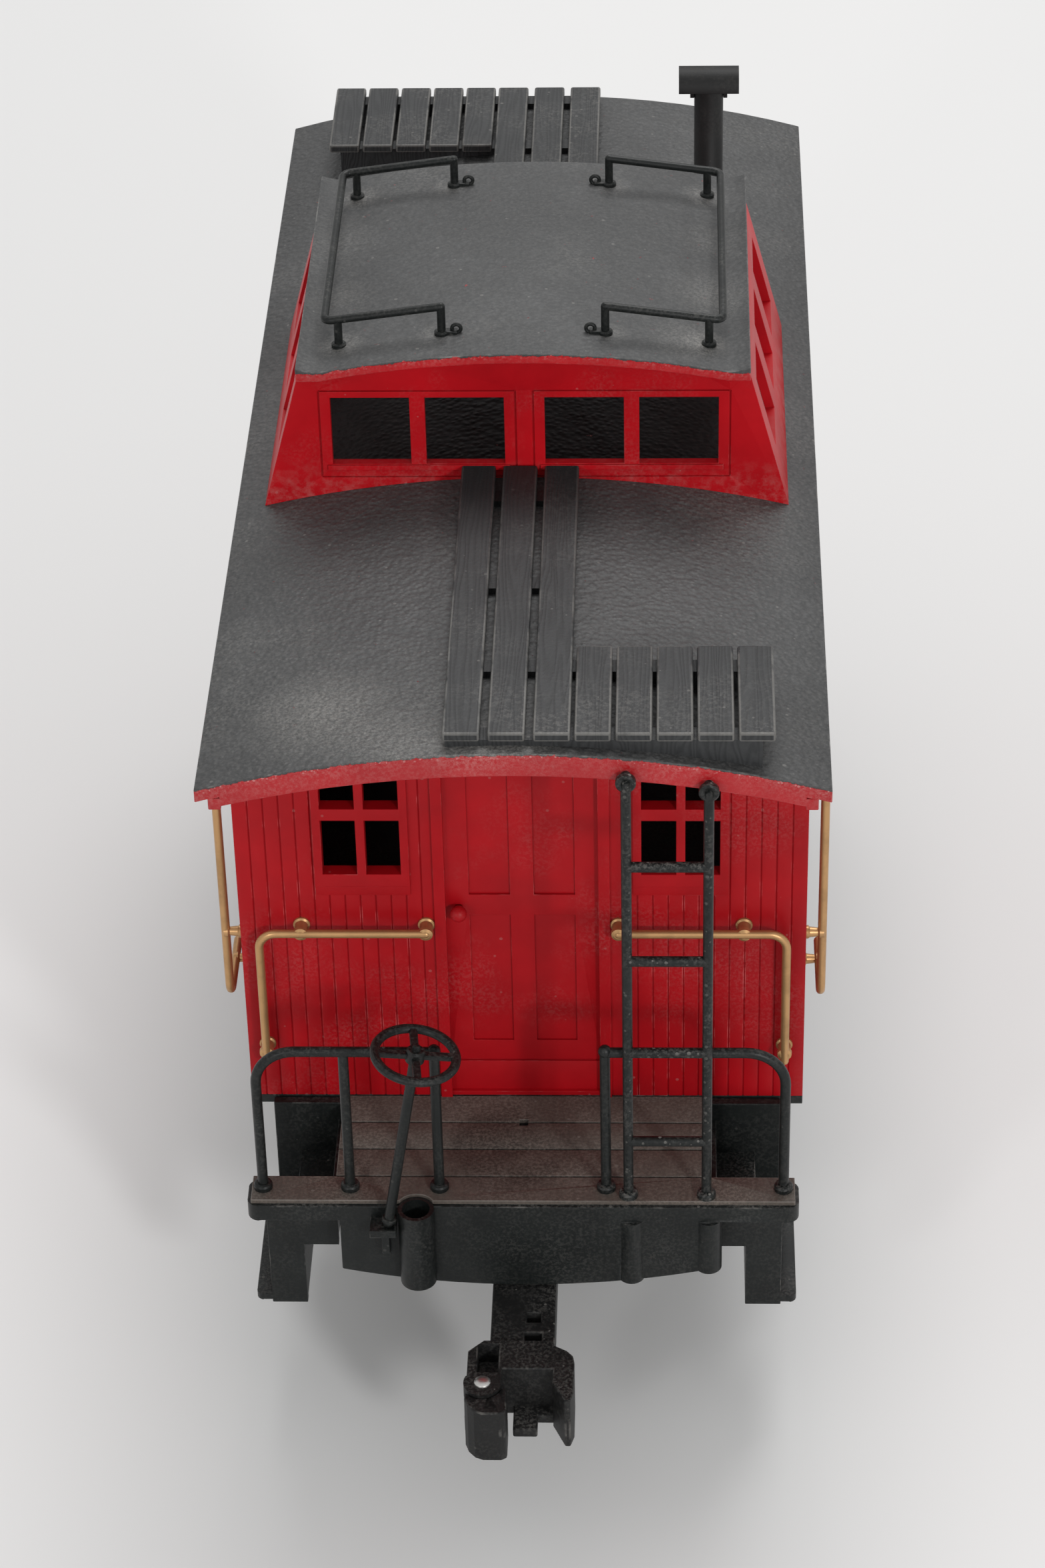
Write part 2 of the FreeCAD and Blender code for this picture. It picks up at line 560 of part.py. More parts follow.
# ---- Roof ----
def roof_panel():
    half = ROOF_WIDTH / 2
    plate = prism_y([(-half, EAVE_HEIGHT - ROOF_PLATE), (0, CROWN_Z - ROOF_PLATE, "arc"),
                     (half, EAVE_HEIGHT - ROOF_PLATE), (half, EAVE_HEIGHT), (0, CROWN_Z, "arc"),
                     (-half, EAVE_HEIGHT)], -ROOF_END, ROOF_END)
    block_out = BODY_HALF + 0.6
    block_in = block_out - EAVE_BLOCK
    inner_y = -ROOF_END + FASCIA_THICK
    outer = under_arch(block_in + 0.1, -ROOF_END, inner_y, EAVE_HEIGHT - 20, ROOF_PLATE - 0.1)
    hollow = under_arch(block_in + 1, -ROOF_END - 1, -ROOF_END + FASCIA_THICK + 1, EAVE_HEIGHT - 30,
                        ROOF_PLATE + FASCIA_DROP)
    fascia = outer.cut(hollow)
    block_top = roof_z(block_out) - ROOF_PLATE + 0.2
    block = box(block_in, block_out, -ROOF_END, -BODY_END - FIT_GAP,
                roof_z(block_out) - ROOF_PLATE - EAVE_BLOCK_DROP, block_top)
    pieces = [plate]
    for piece in (fascia, block, mirrored(block)):
        pieces += [piece, turned(piece)]
    return fuse(pieces)


def walk_frame():
    """Left edges of the long planks and of the short planks, seen from the front."""
    long_left = WALK_OFFSET - 1.5 * LONG_PLANK_W - (LONG_PLANK_PITCH - LONG_PLANK_W)
    short_left = long_left + 3 * LONG_PLANK_PITCH - LONG_TO_SHORT
    return long_left, short_left


def plank(x0, x1, y0, y1):
    top = CROWN_Z + WALK_TOP
    board = box(x0, x1, y0, y1, top - PLANK_T, top)
    edges = [edge for edge in board.Edges if abs(edge.CenterOfMass.z - top) < 0.01]
    return board.makeFillet(min(PLANK_EDGE, PLANK_T / 4), edges)


def cleat(x0, x1, y0, y1):
    """Cross bearer that fills the space between the planks and the curved roof."""
    under = CROWN_Z + WALK_TOP - PLANK_T
    middle = (x0 + x1) / 2
    outline = [(x0, roof_z(x0)), (middle, roof_z(middle), "arc"), (x1, roof_z(x1)), (x1, under), (x0, under)]
    return prism_y(outline, y0, y1)


def roof_walk():
    """Three long planks, five short ones and their cleats, moulded together."""
    long_left, short_left = walk_frame()
    front = -ROOF_END + WALK_INSET
    back = -CUPOLA_END - CUPOLA_SILL_OUT
    pieces = []
    for index in range(3):
        left = long_left + index * LONG_PLANK_PITCH
        pieces.append(plank(left, left + LONG_PLANK_W, front, back))
    for index in range(SHORT_PLANKS):
        left = short_left + index * SHORT_PLANK_PITCH
        pieces.append(plank(left, left + SHORT_PLANK_W, front, front + SHORT_PLANK_L))
    long_right = long_left + 2 * LONG_PLANK_PITCH + LONG_PLANK_W
    short_right = short_left + (SHORT_PLANKS - 1) * SHORT_PLANK_PITCH + SHORT_PLANK_W
    left_in, right_in = CLEAT_IN
    for y in (front + CLEAT_INSET[0], front + SHORT_PLANK_L - CLEAT_W - CLEAT_INSET[1]):
        pieces.append(cleat(long_left + left_in, short_right - right_in, y, y + CLEAT_W))
    for offset in CLEAT_BACK:
        y = front + offset
        if y + CLEAT_W < back:
            pieces.append(cleat(long_left + left_in, long_right - left_in, y, y + CLEAT_W))
    return fuse(pieces)


# ---- Cupola ----
def cupola_half(z):
    """Half width of the cupola at height z."""
    return CUPOLA_BASE_W / 2 - CUPOLA_SLOPE * (z - roof_z(CUPOLA_BASE_W / 2))


def cupola_block(inset, z_extra):
    """Sloping-sided block of the cupola up to its roof, set in by inset on all sides."""
    low = roof_z(CUPOLA_BASE_W / 2) - z_extra
    high = CUPOLA_CROWN_Z
    lower, upper = cupola_half(low) - inset, cupola_half(high) - inset
    end = CUPOLA_END - inset
    block = prism_y([(-lower, low), (lower, low), (upper, high), (-upper, high)], -end, end)
    flat, wide = CUPOLA_ROOF_FLAT, CUPOLA_BASE_W
    under = cupola_roof_z(flat) - CUPOLA_PLATE
    crown = CUPOLA_CROWN_Z - CUPOLA_PLATE
    room = prism_y([(-wide, low - 1), (wide, low - 1), (wide, under), (flat, under), (0, crown, "arc"),
                    (-flat, under), (-wide, under)], -end - 1, end + 1)
    return block.common(room)


def cupola_shell():
    main_roof = under_arch(ROOF_WIDTH / 2, -CUPOLA_END - 1, CUPOLA_END + 1, EAVE_HEIGHT - 30, 0)
    outer = cupola_block(0, 4).cut(main_roof)
    walls = outer.cut(cupola_block(CUPOLA_WALL, 8))
    sill_z = CUPOLA_SILL_Z
    head_z = CUPOLA_SILL_Z + CUPOLA_PANE_H
    front = -CUPOLA_END
    pieces = [walls]
    tools = []
    inner_x = CUPOLA_PANE_IN
    group_out = inner_x + 2 * CUPOLA_PANE_W + CUPOLA_PANE_GAP
    for side in (-1, 1):
        sill = box(side * (inner_x - 1), side * (group_out + 1), front - CUPOLA_SILL_OUT, front + 1,
                   sill_z - CUPOLA_SILL_H - 0.1, sill_z - 0.1)
        pieces += [sill, turned(sill)]
        for index in (0, 1):
            near = inner_x + index * (CUPOLA_PANE_W + CUPOLA_PANE_GAP)
            far = near + CUPOLA_PANE_W
            pane = box(side * near, side * far, front - 2, front + CUPOLA_WALL + 1, sill_z, head_z)
            tools += [pane, turned(pane)]
        beside, below, above = CUPOLA_OUTLINE
        low_z, high_z = sill_z - below, head_z + above
        left, right = inner_x - beside, group_out + beside
        for x in (left, right):
            groove = box(side * x - CUPOLA_GROOVE, side * x + CUPOLA_GROOVE, front - 1, front + 0.4,
                         low_z, high_z)
            tools += [groove, turned(groove)]
        for z in (low_z, high_z):
            groove = box(side * left, side * right, front - 1, front + 0.4,
                         z - CUPOLA_GROOVE, z + CUPOLA_GROOVE)
            tools += [groove, turned(groove)]
    for index in (-1, 0, 1):
        middle = index * CUPOLA_SIDE_PITCH
        tools.append(box(-CUPOLA_BASE_W / 2, CUPOLA_BASE_W / 2, middle - CUPOLA_SIDE_PANE / 2,
                         middle + CUPOLA_SIDE_PANE / 2, sill_z, head_z))
    return cut(fuse(pieces), tools)


def cupola_roof():
    """Arched plate whose long edges turn up."""
    eave = CUPOLA_EAVE_W / 2
    flat_z = cupola_roof_z(CUPOLA_ROOF_FLAT)
    lip_z = flat_z + CUPOLA_LIP
    turn_x = (CUPOLA_ROOF_FLAT + eave) / 2
    turn_z = flat_z + CUPOLA_LIP * 0.3
    drop = CUPOLA_PLATE
    crown = CUPOLA_CROWN_Z
    outline = [(-CUPOLA_ROOF_FLAT, flat_z), (0, crown, "arc"), (CUPOLA_ROOF_FLAT, flat_z),
               (turn_x, turn_z, "arc"), (eave, lip_z), (eave, flat_z - drop),
               (CUPOLA_ROOF_FLAT, flat_z - drop),
               (0, crown - drop, "arc"), (-CUPOLA_ROOF_FLAT, flat_z - drop), (-eave, flat_z - drop),
               (-eave, lip_z), (-turn_x, turn_z, "arc")]
    end = CUPOLA_END + CUPOLA_OVERHANG
    return prism_y(outline, -end, end)


def cupola_rail():
    """C-shaped roof railing on the right side: two end arms, a side run and four posts with eyelets."""
    inner_x, outer_x = CUPOLA_RAIL_POST_X
    radius = RAIL_D / 2

    def top_z(x):
        return cupola_roof_z(min(x, CUPOLA_ROOF_FLAT)) + CUPOLA_RAIL_H

    corners = []
    for y in (-CUPOLA_RAIL_END_Y, CUPOLA_RAIL_END_Y):
        corners.append((V(inner_x, y, top_z(inner_x)), V(CUPOLA_RAIL_SIDE_X, y, top_z(CUPOLA_RAIL_SIDE_X))))
    path = [corners[0][0], corners[0][1], corners[1][1], corners[1][0]]
    pieces = [bent_rod(path, radius, 1.6)]
    for y in (-CUPOLA_RAIL_END_Y, CUPOLA_RAIL_END_Y):
        for x in (inner_x, outer_x):
            foot = V(x, y, cupola_roof_z(x))
            pieces.append(rod(foot, V(x, y, top_z(x)), radius))
            flange = Part.makeCylinder(1.5, 1.2, foot - Z_AXIS * 0.2)
            pieces.append(flange)
        pieces.append(Part.makeSphere(radius, V(inner_x, y, top_z(inner_x))))
        base = cupola_roof_z(inner_x)
        tab = box(inner_x - 3.2, inner_x, y - 0.9, y + 0.9, base, base + 1.0)
        eye = Part.makeTorus(0.9, 0.4, V(inner_x - 3.0, y, cupola_roof_z(inner_x) + 1.2), Y_AXIS)
        pieces += [tab, eye]
    whole = fuse(pieces)
    arch = prism_y([(-45, CUPOLA_CROWN_Z - 20), (45, CUPOLA_CROWN_Z - 20), (45, cupola_roof_z(45)),
                    (0, CUPOLA_CROWN_Z, "arc"), (-45, cupola_roof_z(45))], -60, 60)
    return whole.cut(arch)


def smokejack_stem():
    """Open pipe with a low collar that sits on the curved roof."""
    foot = V(JACK_X, JACK_Y, EAVE_HEIGHT)
    pipe = Part.makeCylinder(JACK_R, JACK_TOP_Z - EAVE_HEIGHT, foot)
    collar = Part.makeCylinder(JACK_COLLAR_R, roof_z(JACK_X) + JACK_COLLAR_H - EAVE_HEIGHT, foot)
    main_roof = under_arch(ROOF_WIDTH / 2, JACK_Y - 12, JACK_Y + 12, EAVE_HEIGHT - 30, 0)
    pipe = pipe.fuse(collar).cut(main_roof)
    bore = Part.makeCylinder(JACK_R - JACK_WALL, JACK_BORE + 1, V(JACK_X, JACK_Y, JACK_TOP_Z - JACK_BORE))
    return pipe.cut(bore).removeSplitter()


def smokejack_hood():
    """Half-round hood lying across the top of the stem on two straps."""
    axis_z = JACK_TOP_Z - HOOD_DROP
    half = HOOD_LENGTH / 2
    start = V(JACK_X - half, JACK_Y, axis_z)
    tube = Part.makeCylinder(HOOD_R, HOOD_LENGTH, start, X_AXIS)
    tube = tube.cut(Part.makeCylinder(HOOD_R - HOOD_T, HOOD_LENGTH, start, X_AXIS))
    hood = tube.common(box(JACK_X - half, JACK_X + half, JACK_Y - 10, JACK_Y + 10, axis_z, axis_z + 10))
    straps = []
    for side in (-1, 1):
        near, far = JACK_X + side * JACK_R, JACK_X + side * (JACK_R + STRAP_T)
        straps.append(box(near, far, JACK_Y - STRAP_W / 2, JACK_Y + STRAP_W / 2,
                          axis_z - STRAP_DROP, axis_z + HOOD_R - HOOD_T / 3))
    return fuse([hood] + straps)


# ---- End platforms ----
def platform_frame():
    """Black platform casting: slab, end beam, ladder bosses and the stake pocket."""
    edge = -PLATFORM_EDGE
    top = FLOOR_HEIGHT - DECK_T
    under = PLATFORM_UNDER_Z
    nose = box(-DECK_HALF, DECK_HALF, edge, edge + FRONT_PLANK, under, top)
    corners = [e for e in nose.Edges if abs(e.CenterOfMass.x) > DECK_HALF - 0.01 and e.Length < SLAB_T + 0.01
               and abs(e.CenterOfMass.z - (under + top) / 2) < 0.01]
    nose = nose.makeFillet(SLAB_CORNER, corners)
    middle = box(-WELL_X, WELL_X, edge + FRONT_PLANK - 0.1, -BODY_END - FIT_GAP, under, top)
    sag = BEAM_BOTTOM_END - BEAM_BOTTOM_MID
    beam = prism_y([(-BEAM_HALF, BEAM_BOTTOM_END), (0, BEAM_BOTTOM_MID, "arc"), (BEAM_HALF, BEAM_BOTTOM_END),
                    (BEAM_HALF, under + 0.1), (-BEAM_HALF, under + 0.1)], edge, edge + BEAM_T)
    pieces = [nose, middle, beam]
    for x in LADDER_X:
        low = BEAM_BOTTOM_MID + sag * (x / BEAM_HALF) ** 2
        axis = V(x + BOSS_SHIFT, edge + BOSS_R - BOSS_PROUD, low)
        pieces.append(Part.makeCylinder(BOSS_R, under - low + 0.1, axis))
    pocket_y = edge - POCKET_OUT
    pieces.append(Part.makeCylinder(POCKET_R, POCKET_TOP_Z - POCKET_BOTTOM_Z,
                                    V(POCKET_X, pocket_y, POCKET_BOTTOM_Z)))
    bore_foot = V(POCKET_X, pocket_y, POCKET_TOP_Z - POCKET_DEPTH)
    bore = Part.makeCylinder(POCKET_BORE_R, POCKET_DEPTH + 1, bore_foot)
    return cut(fuse(pieces), [bore])


def platform_deck():
    """Thin boarded floor of one platform, with its seams and the square hole."""
    front = -PLATFORM_EDGE + DECK_INSET
    back = -BODY_END - FIT_GAP
    plank_end = -PLATFORM_EDGE + FRONT_PLANK
    top = FLOOR_HEIGHT
    wide = box(-DECK_HALF + DECK_INSET, DECK_HALF - DECK_INSET, front, plank_end, top - DECK_T, top)
    narrow = box(-WELL_X, WELL_X, plank_end - 0.1, back, top - DECK_T, top)
    deck = fuse([wide, narrow])
    step = (back - plank_end) / PLANKS_BEHIND
    tools = []
    for index in range(PLANKS_BEHIND):
        y = plank_end + index * step
        tools.append(box(-WELL_X, WELL_X, y - SEAM / 2, y + SEAM / 2, top - SEAM_DEPTH, top + 1))
    hole_y = plank_end + (PLANKS_BEHIND - 1) * step
    half = HOLE_W / 2
    tools.append(box(HOLE_X - half, HOLE_X + half, hole_y - half, hole_y + half, top - DECK_T - 1, top + 1))
    pocket_y = -PLATFORM_EDGE - POCKET_OUT
    tools.append(Part.makeCylinder(POCKET_R + FIT_GAP / 2, 5, V(POCKET_X, pocket_y, top - 3)))
    return cut(deck, tools)


def step_unit():
    """Steps on the left side: two L-shaped stringers, two treads, a riser and an inner side."""
    front = -PLATFORM_EDGE + STEP_FRONT_SET
    back = -BODY_END - FIT_GAP
    under = PLATFORM_UNDER_Z
    pieces = []
    for y, top in ((front, under), (back - STRINGER_T, FLOOR_HEIGHT - FIT_GAP)):
        outline = [(-WELL_X, top), (-STRINGER_OUT, top), (-STRINGER_OUT, STRINGER_BOTTOM_Z),
                   (-LEG_IN, STRINGER_BOTTOM_Z), (-LEG_IN, STRINGER_MID_Z), (-WELL_X, STRINGER_MID_Z)]
        pieces.append(prism_y(outline, y, y + STRINGER_T))
    pieces.append(box(-UPPER_TREAD_OUT, -WELL_X, front, back, UPPER_TREAD_Z - TREAD_T, UPPER_TREAD_Z))
    pieces.append(box(-LOWER_TREAD_OUT, -LEG_IN, front, back, LOWER_TREAD_Z - TREAD_T, LOWER_TREAD_Z))
    pieces.append(box(-LEG_IN - RISER_T, -LEG_IN, front, back, LOWER_TREAD_Z - TREAD_T, UPPER_TREAD_Z))
    pieces.append(box(-WELL_X - RISER_T, -WELL_X, front, back, UPPER_TREAD_Z - TREAD_T, under))
    unit = fuse(pieces)
    corners = [e for e in unit.Edges if abs(e.CenterOfMass.x + LOWER_TREAD_OUT) < 0.01
               and e.Length < TREAD_T + 0.01]
    return unit.makeFillet(TREAD_CORNER, corners)


def end_railing(posts):
    """Tubular railing on the left side of the front platform, with two or three posts."""
    y = -ROOF_END + RAILING_Y
    inner, outer = posts[0], posts[-1]
    floor = FLOOR_HEIGHT
    path = [V(-inner, y, RAILING_Z), V(-outer, y, RAILING_Z), V(-outer, y, floor)]
    pieces = [bent_rod(path, POST_D / 2, RAILING_BEND)]
    for x in posts[:-1]:
        pieces.append(rod(V(-x, y, floor), V(-x, y, RAILING_Z), POST_D / 2))
    pieces.append(Part.makeSphere(KNOB_BALL_R, V(-inner, y, RAILING_Z + 0.3)))
    for x in posts:
        collar = Part.makeCylinder(COLLAR_R, COLLAR_H, V(-x, y, floor))
        rim = [e for e in collar.Edges if abs(e.CenterOfMass.z - floor - COLLAR_H) < 0.01
               and e.Length > 1.7 * COLLAR_R]
        pieces.append(collar.makeFillet(0.5, rim))
    return fuse(pieces)


def ladder():
    """End ladder: two stiles with collared feet, four rungs, round pads pegged into the fascia."""
    y = -ROOF_END - LADDER_OUT
    floor = FLOOR_HEIGHT
    pieces = []
    for x in LADDER_X:
        pad_z = roof_z(x) - PAD_DROP
        pieces.append(rod(V(x, y, floor), V(x, y, pad_z), STILE_D / 2))
        pieces.append(Part.makeCylinder(COLLAR_R, COLLAR_H, V(x, y, floor)))
        pieces.append(rod(V(x, y - PAD_T / 2, pad_z), V(x, y + PAD_T / 2, pad_z), PAD_R))
        pieces.append(rod(V(x, y - PAD_T / 2 - PAD_RIVET_H, pad_z), V(x, y, pad_z), PAD_RIVET_R))
        pieces.append(rod(V(x, y, pad_z + PEG_UP), V(x, -ROOF_END, pad_z + PEG_UP), PEG_R))
    for index in range(RUNGS):
        z = RUNG_TOP_Z - index * RUNG_PITCH
        pieces.append(rod(V(LADDER_X[0], y, z), V(LADDER_X[1], y, z), RUNG_D / 2))
    return fuse(pieces)


def boss(wall, rail, radius):
    """Cone-shaped foot of a grab rail, from the wall out to the bar."""
    run = rail - wall
    return Part.makeCone(radius, radius * GRAB_BOSS_TAPER, run.Length, wall, run)


def end_grab():
    """L-shaped grab rail on the left part of the front end wall."""
    wall = -BODY_END
    y = wall - GRAB_OFF
    corner = V(-END_GRAB_OUT, y, END_GRAB_Z)
    path = [V(-END_GRAB_IN, y, END_GRAB_Z), corner, V(-END_GRAB_OUT, y, END_GRAB_LOW_Z)]
    pieces = [bent_rod(path, GRAB_D / 2, GRAB_BEND)]
    pieces.append(Part.makeSphere(GRAB_D / 2, path[0]))
    pieces.append(Part.makeSphere(GRAB_D / 2, path[-1]))
    feet = ((-END_GRAB_IN, END_GRAB_Z), (-END_GRAB_OUT + END_GRAB_BOSS, END_GRAB_Z),
            (-END_GRAB_OUT, FLOOR_HEIGHT + END_GRAB_LOW_BOSS))
    for x, z in feet:
        pieces.append(boss(V(x, wall, z), V(x, y, z), GRAB_BOSS_R))
    return fuse(pieces)


def side_grab():
    """Corner grab rail on the left side near the front: a tall arm that turns back along the side."""
    x_wall = -BODY_HALF
    x = x_wall - GRAB_OFF
    y = -BODY_END + SIDE_GRAB_SET
    path = [V(x, y, SIDE_GRAB_TOP_Z), V(x, y, SIDE_GRAB_LOW_Z), V(x, y + SIDE_GRAB_RUN, SIDE_GRAB_LOW_Z)]
    pieces = [bent_rod(path, GRAB_D / 2, GRAB_BEND)]
    pieces.append(Part.makeSphere(GRAB_D / 2, path[0]))
    pieces.append(Part.makeSphere(GRAB_D / 2, path[-1]))
    feet = ((0, EAVE_HEIGHT - SIDE_GRAB_TOP_BOSS), (0, FLOOR_HEIGHT + SIDE_GRAB_MID_BOSS),
            (SIDE_GRAB_RUN_BOSS, SIDE_GRAB_LOW_Z))
    for along, z in feet:
        pieces.append(boss(V(x_wall, y + along, z), V(x, y + along, z), GRAB_BOSS_R * SIDE_GRAB_BOSS_SHARE))
    return fuse(pieces)


# ---- Hand brake ----
def staff_line():
    """Foot of the brake staff and the direction it leans in."""
    foot = V(STAFF_FOOT_X, -ROOF_END - STAFF_FOOT_OUT, BRACKET_Z - BRACKET_T)
    lean = V(math.sin(STAFF_ANGLE), 0, math.cos(STAFF_ANGLE))
    return foot, lean


def staff_top():
    """Middle of the brake wheel's hub."""
    foot, lean = staff_line()
    return foot + lean * ((BRAKE_WHEEL_Z - foot.z) / lean.z)


def brake_bracket():
    """Foot bearing of the brake staff on the end beam."""
    foot, lean = staff_line()
    face = -PLATFORM_EDGE
    front = foot.y - STAFF_D / 2 - BRACKET_LIP
    half = BRACKET_W / 2
    left, right = (foot.x + x for x in BRACKET_WEB_X)
    web_z = foot.z - BRACKET_WEB
    plate = box(foot.x - half - 0.6, foot.x + half - 0.9, front, face, foot.z, BRACKET_Z)
    web = box(left, right, front + BRACKET_WEB_SET, face, web_z, foot.z)
    tip = box(left, right, front + BRACKET_TIP_SET, face, foot.z - BRACKET_TIP, web_z)
    bore = Part.makeCylinder(STAFF_D / 2 + SHAFT_CLEARANCE, BRACKET_W, foot + lean * STAFF_SEAT, lean)
    return fuse([plate, web, tip]).cut(bore)


def brake_staff():
    """Leaning staff with the ring that keeps it in its bracket."""
    foot, lean = staff_line()
    top = staff_top() - lean * (BRAKE_HUB_H / 2)
    staff = rod(foot + lean * (STAFF_SEAT + SHAFT_CLEARANCE), top, STAFF_D / 2)
    ring_base = foot + lean * (BRACKET_T + STAFF_SEAT)
    ring = Part.makeCylinder(STAFF_D / 2 + STAFF_RING, STAFF_RING_H, ring_base, lean)
    return fuse([staff, ring])


def brake_wheel():
    """Hand wheel with round spokes, square to the leaning staff."""
    foot, lean = staff_line()
    centre = staff_top()
    across = lean.cross(Y_AXIS).normalize()
    ring_r = BRAKE_WHEEL_R - BRAKE_RIM_R
    half_hub = lean * (BRAKE_HUB_H / 2)
    pieces = [Part.makeTorus(ring_r, BRAKE_RIM_R, centre, lean),
              Part.makeCylinder(BRAKE_HUB_R, BRAKE_HUB_H, centre - half_hub, lean),
              Part.makeCylinder(BRAKE_NUT_R, BRAKE_NUT_H, centre + half_hub, lean)]
    for index in range(BRAKE_SPOKES):
        angle = math.radians(BRAKE_SPOKE_TURN + 360 * index / BRAKE_SPOKES)
        out = across * math.cos(angle) + Y_AXIS * math.sin(angle)
        pieces.append(rod(centre + out * (BRAKE_HUB_R / 4), centre + out * ring_r, BRAKE_SPOKE_R))
    return fuse(pieces)


# ---- Couplers ----
def out_y(distance):
    """Y of a point that far outside the roof's front end edge."""
    return -ROOF_END - distance


def coupler_mount():
    """Post under the platform that the coupler swings on."""
    y = out_y(-PIVOT_SET)
    half, ahead, behind, thick = MOUNT_PAD
    pad_low = PLATFORM_UNDER_Z - thick
    shoulder = SHANK_TOP_Z + FIT_GAP
    rib_z, rib = shoulder + MOUNT_RIB_UP, MOUNT_RIB_T / 2
    post = Part.makeCylinder(POST_R, shoulder - PIVOT_SEAT_Z, V(0, y, PIVOT_SEAT_Z))
    pieces = [box(-half, half, y - ahead, y + behind, pad_low, PLATFORM_UNDER_Z),
              Part.makeCylinder(MOUNT_DRUM_R, pad_low - shoulder, V(0, y, shoulder)), post,
              box(1 - half, half - 1, y - rib, y + rib, rib_z, pad_low),
              box(-rib, rib, y - ahead + 1, y + behind - 1, rib_z, pad_low)]
    bore = Part.makeCylinder(PIVOT_SCREW_R, PIVOT_SCREW_L, V(0, y, PIVOT_SEAT_Z))
    return fuse(pieces).cut(bore)


def coupler_pivot_screw():
    """Large-headed screw that holds the coupler up on its post."""
    y = out_y(-PIVOT_SET)
    head_z = PIVOT_SEAT_Z - PIVOT_HEAD_T
    shaft = Part.makeCylinder(PIVOT_SCREW_R, PIVOT_SCREW_L, V(0, y, PIVOT_SEAT_Z))
    head = Part.makeCylinder(PIVOT_HEAD_R, PIVOT_HEAD_T, V(0, y, head_z))
    half = SCREW_SLOT_W / 2
    slot = box(-PIVOT_HEAD_R, PIVOT_HEAD_R, y - half, y + half, head_z - 0.1, head_z + SCREW_SLOT_DEPTH)
    return fuse([shaft, head]).cut(slot)


def lug(z0, z1):
    """One ear of the head that holds the knuckle pin."""
    y = out_y(KNUCKLE_PIN_OUT)
    ear = Part.makeCylinder(LUG_R, z1 - z0, V(KNUCKLE_PIN_X, y, z0))
    root = box(HEAD_LEFT, KNUCKLE_PIN_X + LUG_R, y, out_y(HEAD_FRONT) + 0.2, z0, z1)
    return [ear, root]


def coupler_head():
    """Block of the head with its guard arm, lower lip and the two knuckle lugs."""
    back, front = out_y(HEAD_BACK), out_y(HEAD_FRONT)
    step = SHANK_W / 2
    shoulder = back - SHOULDER_DROP
    low, high = HEAD_LOW_Z, HEAD_TOP_Z
    block = plan_prism([(HEAD_LEFT, front), (HEAD_LEFT, back - 3.0), (HEAD_LEFT + 3.0, back), (step, back),
                        (step, shoulder), (HEAD_RIGHT - 1.6, shoulder - 1.5),
                        (HEAD_RIGHT - 0.3, shoulder - 3.0),
                        (HEAD_RIGHT, shoulder - 5.0), (HEAD_RIGHT, front)], low, high)
    guard = plan_prism([(GUARD_IN, front + 1), (HEAD_RIGHT, front + 1), (HEAD_RIGHT, out_y(GUARD_TIP - 2.5)),
                        (HEAD_RIGHT - 0.7, out_y(GUARD_TIP)), (HEAD_RIGHT - 1.8, out_y(GUARD_TIP)),
                        (GUARD_IN, out_y(GUARD_TIP - 5.5))], low, high)
    lip = box(LIP_LEFT, LIP_RIGHT, out_y(GUARD_TIP - 2.6), front + 1, low, low + LIP_T)
    web = box(LIP_RIGHT - 0.5, GUARD_IN + 0.5, out_y(GUARD_TIP - 6.5), front + 1, low, low + LIP_T)
    return [block, guard, lip, web] + lug(high - LUG_T, high) + lug(low, low + LUG_T)


def coupler_body():
    """Shank, swing eye and head of the coupler."""
    pivot_y, pin_y = out_y(-PIVOT_SET), out_y(KNUCKLE_PIN_OUT)
    half = SHANK_W / 2
    top = SHANK_TOP_Z
    shank = box(-half, half, out_y(HEAD_BACK) - 1, pivot_y, SHANK_LOW_Z, top)
    eye = Part.makeCylinder(half, SHANK_T, V(0, pivot_y, SHANK_LOW_Z))
    left, right, inner, outer = SHANK_SLOT
    notch_left, notch_right, notch_in = SHANK_NOTCH
    pocket_left, pocket_right, pocket_wall, pocket_depth = HEAD_POCKET
    floor = top - SHANK_SLOT_DEPTH
    tools = [Part.makeCylinder(POST_R + SHAFT_CLEARANCE, SHANK_T + 2, V(0, pivot_y, SHANK_LOW_Z - 1)),
             Part.makeCylinder(KNUCKLE_PIN_R, HEAD_H + 4, V(KNUCKLE_PIN_X, pin_y, HEAD_BOTTOM_Z - 1)),
             box(left, right, out_y(outer), out_y(inner), floor, top + 1),
             box(notch_left, notch_right, out_y(HEAD_BACK - 0.5), out_y(notch_in), floor, HEAD_TOP_Z + 1),
             box(pocket_left, pocket_right, out_y(HEAD_FRONT + 1), out_y(HEAD_BACK + pocket_wall),
                 HEAD_TOP_Z - pocket_depth, HEAD_TOP_Z + 1)]
    return cut(fuse([shank, eye] + coupler_head()), tools)


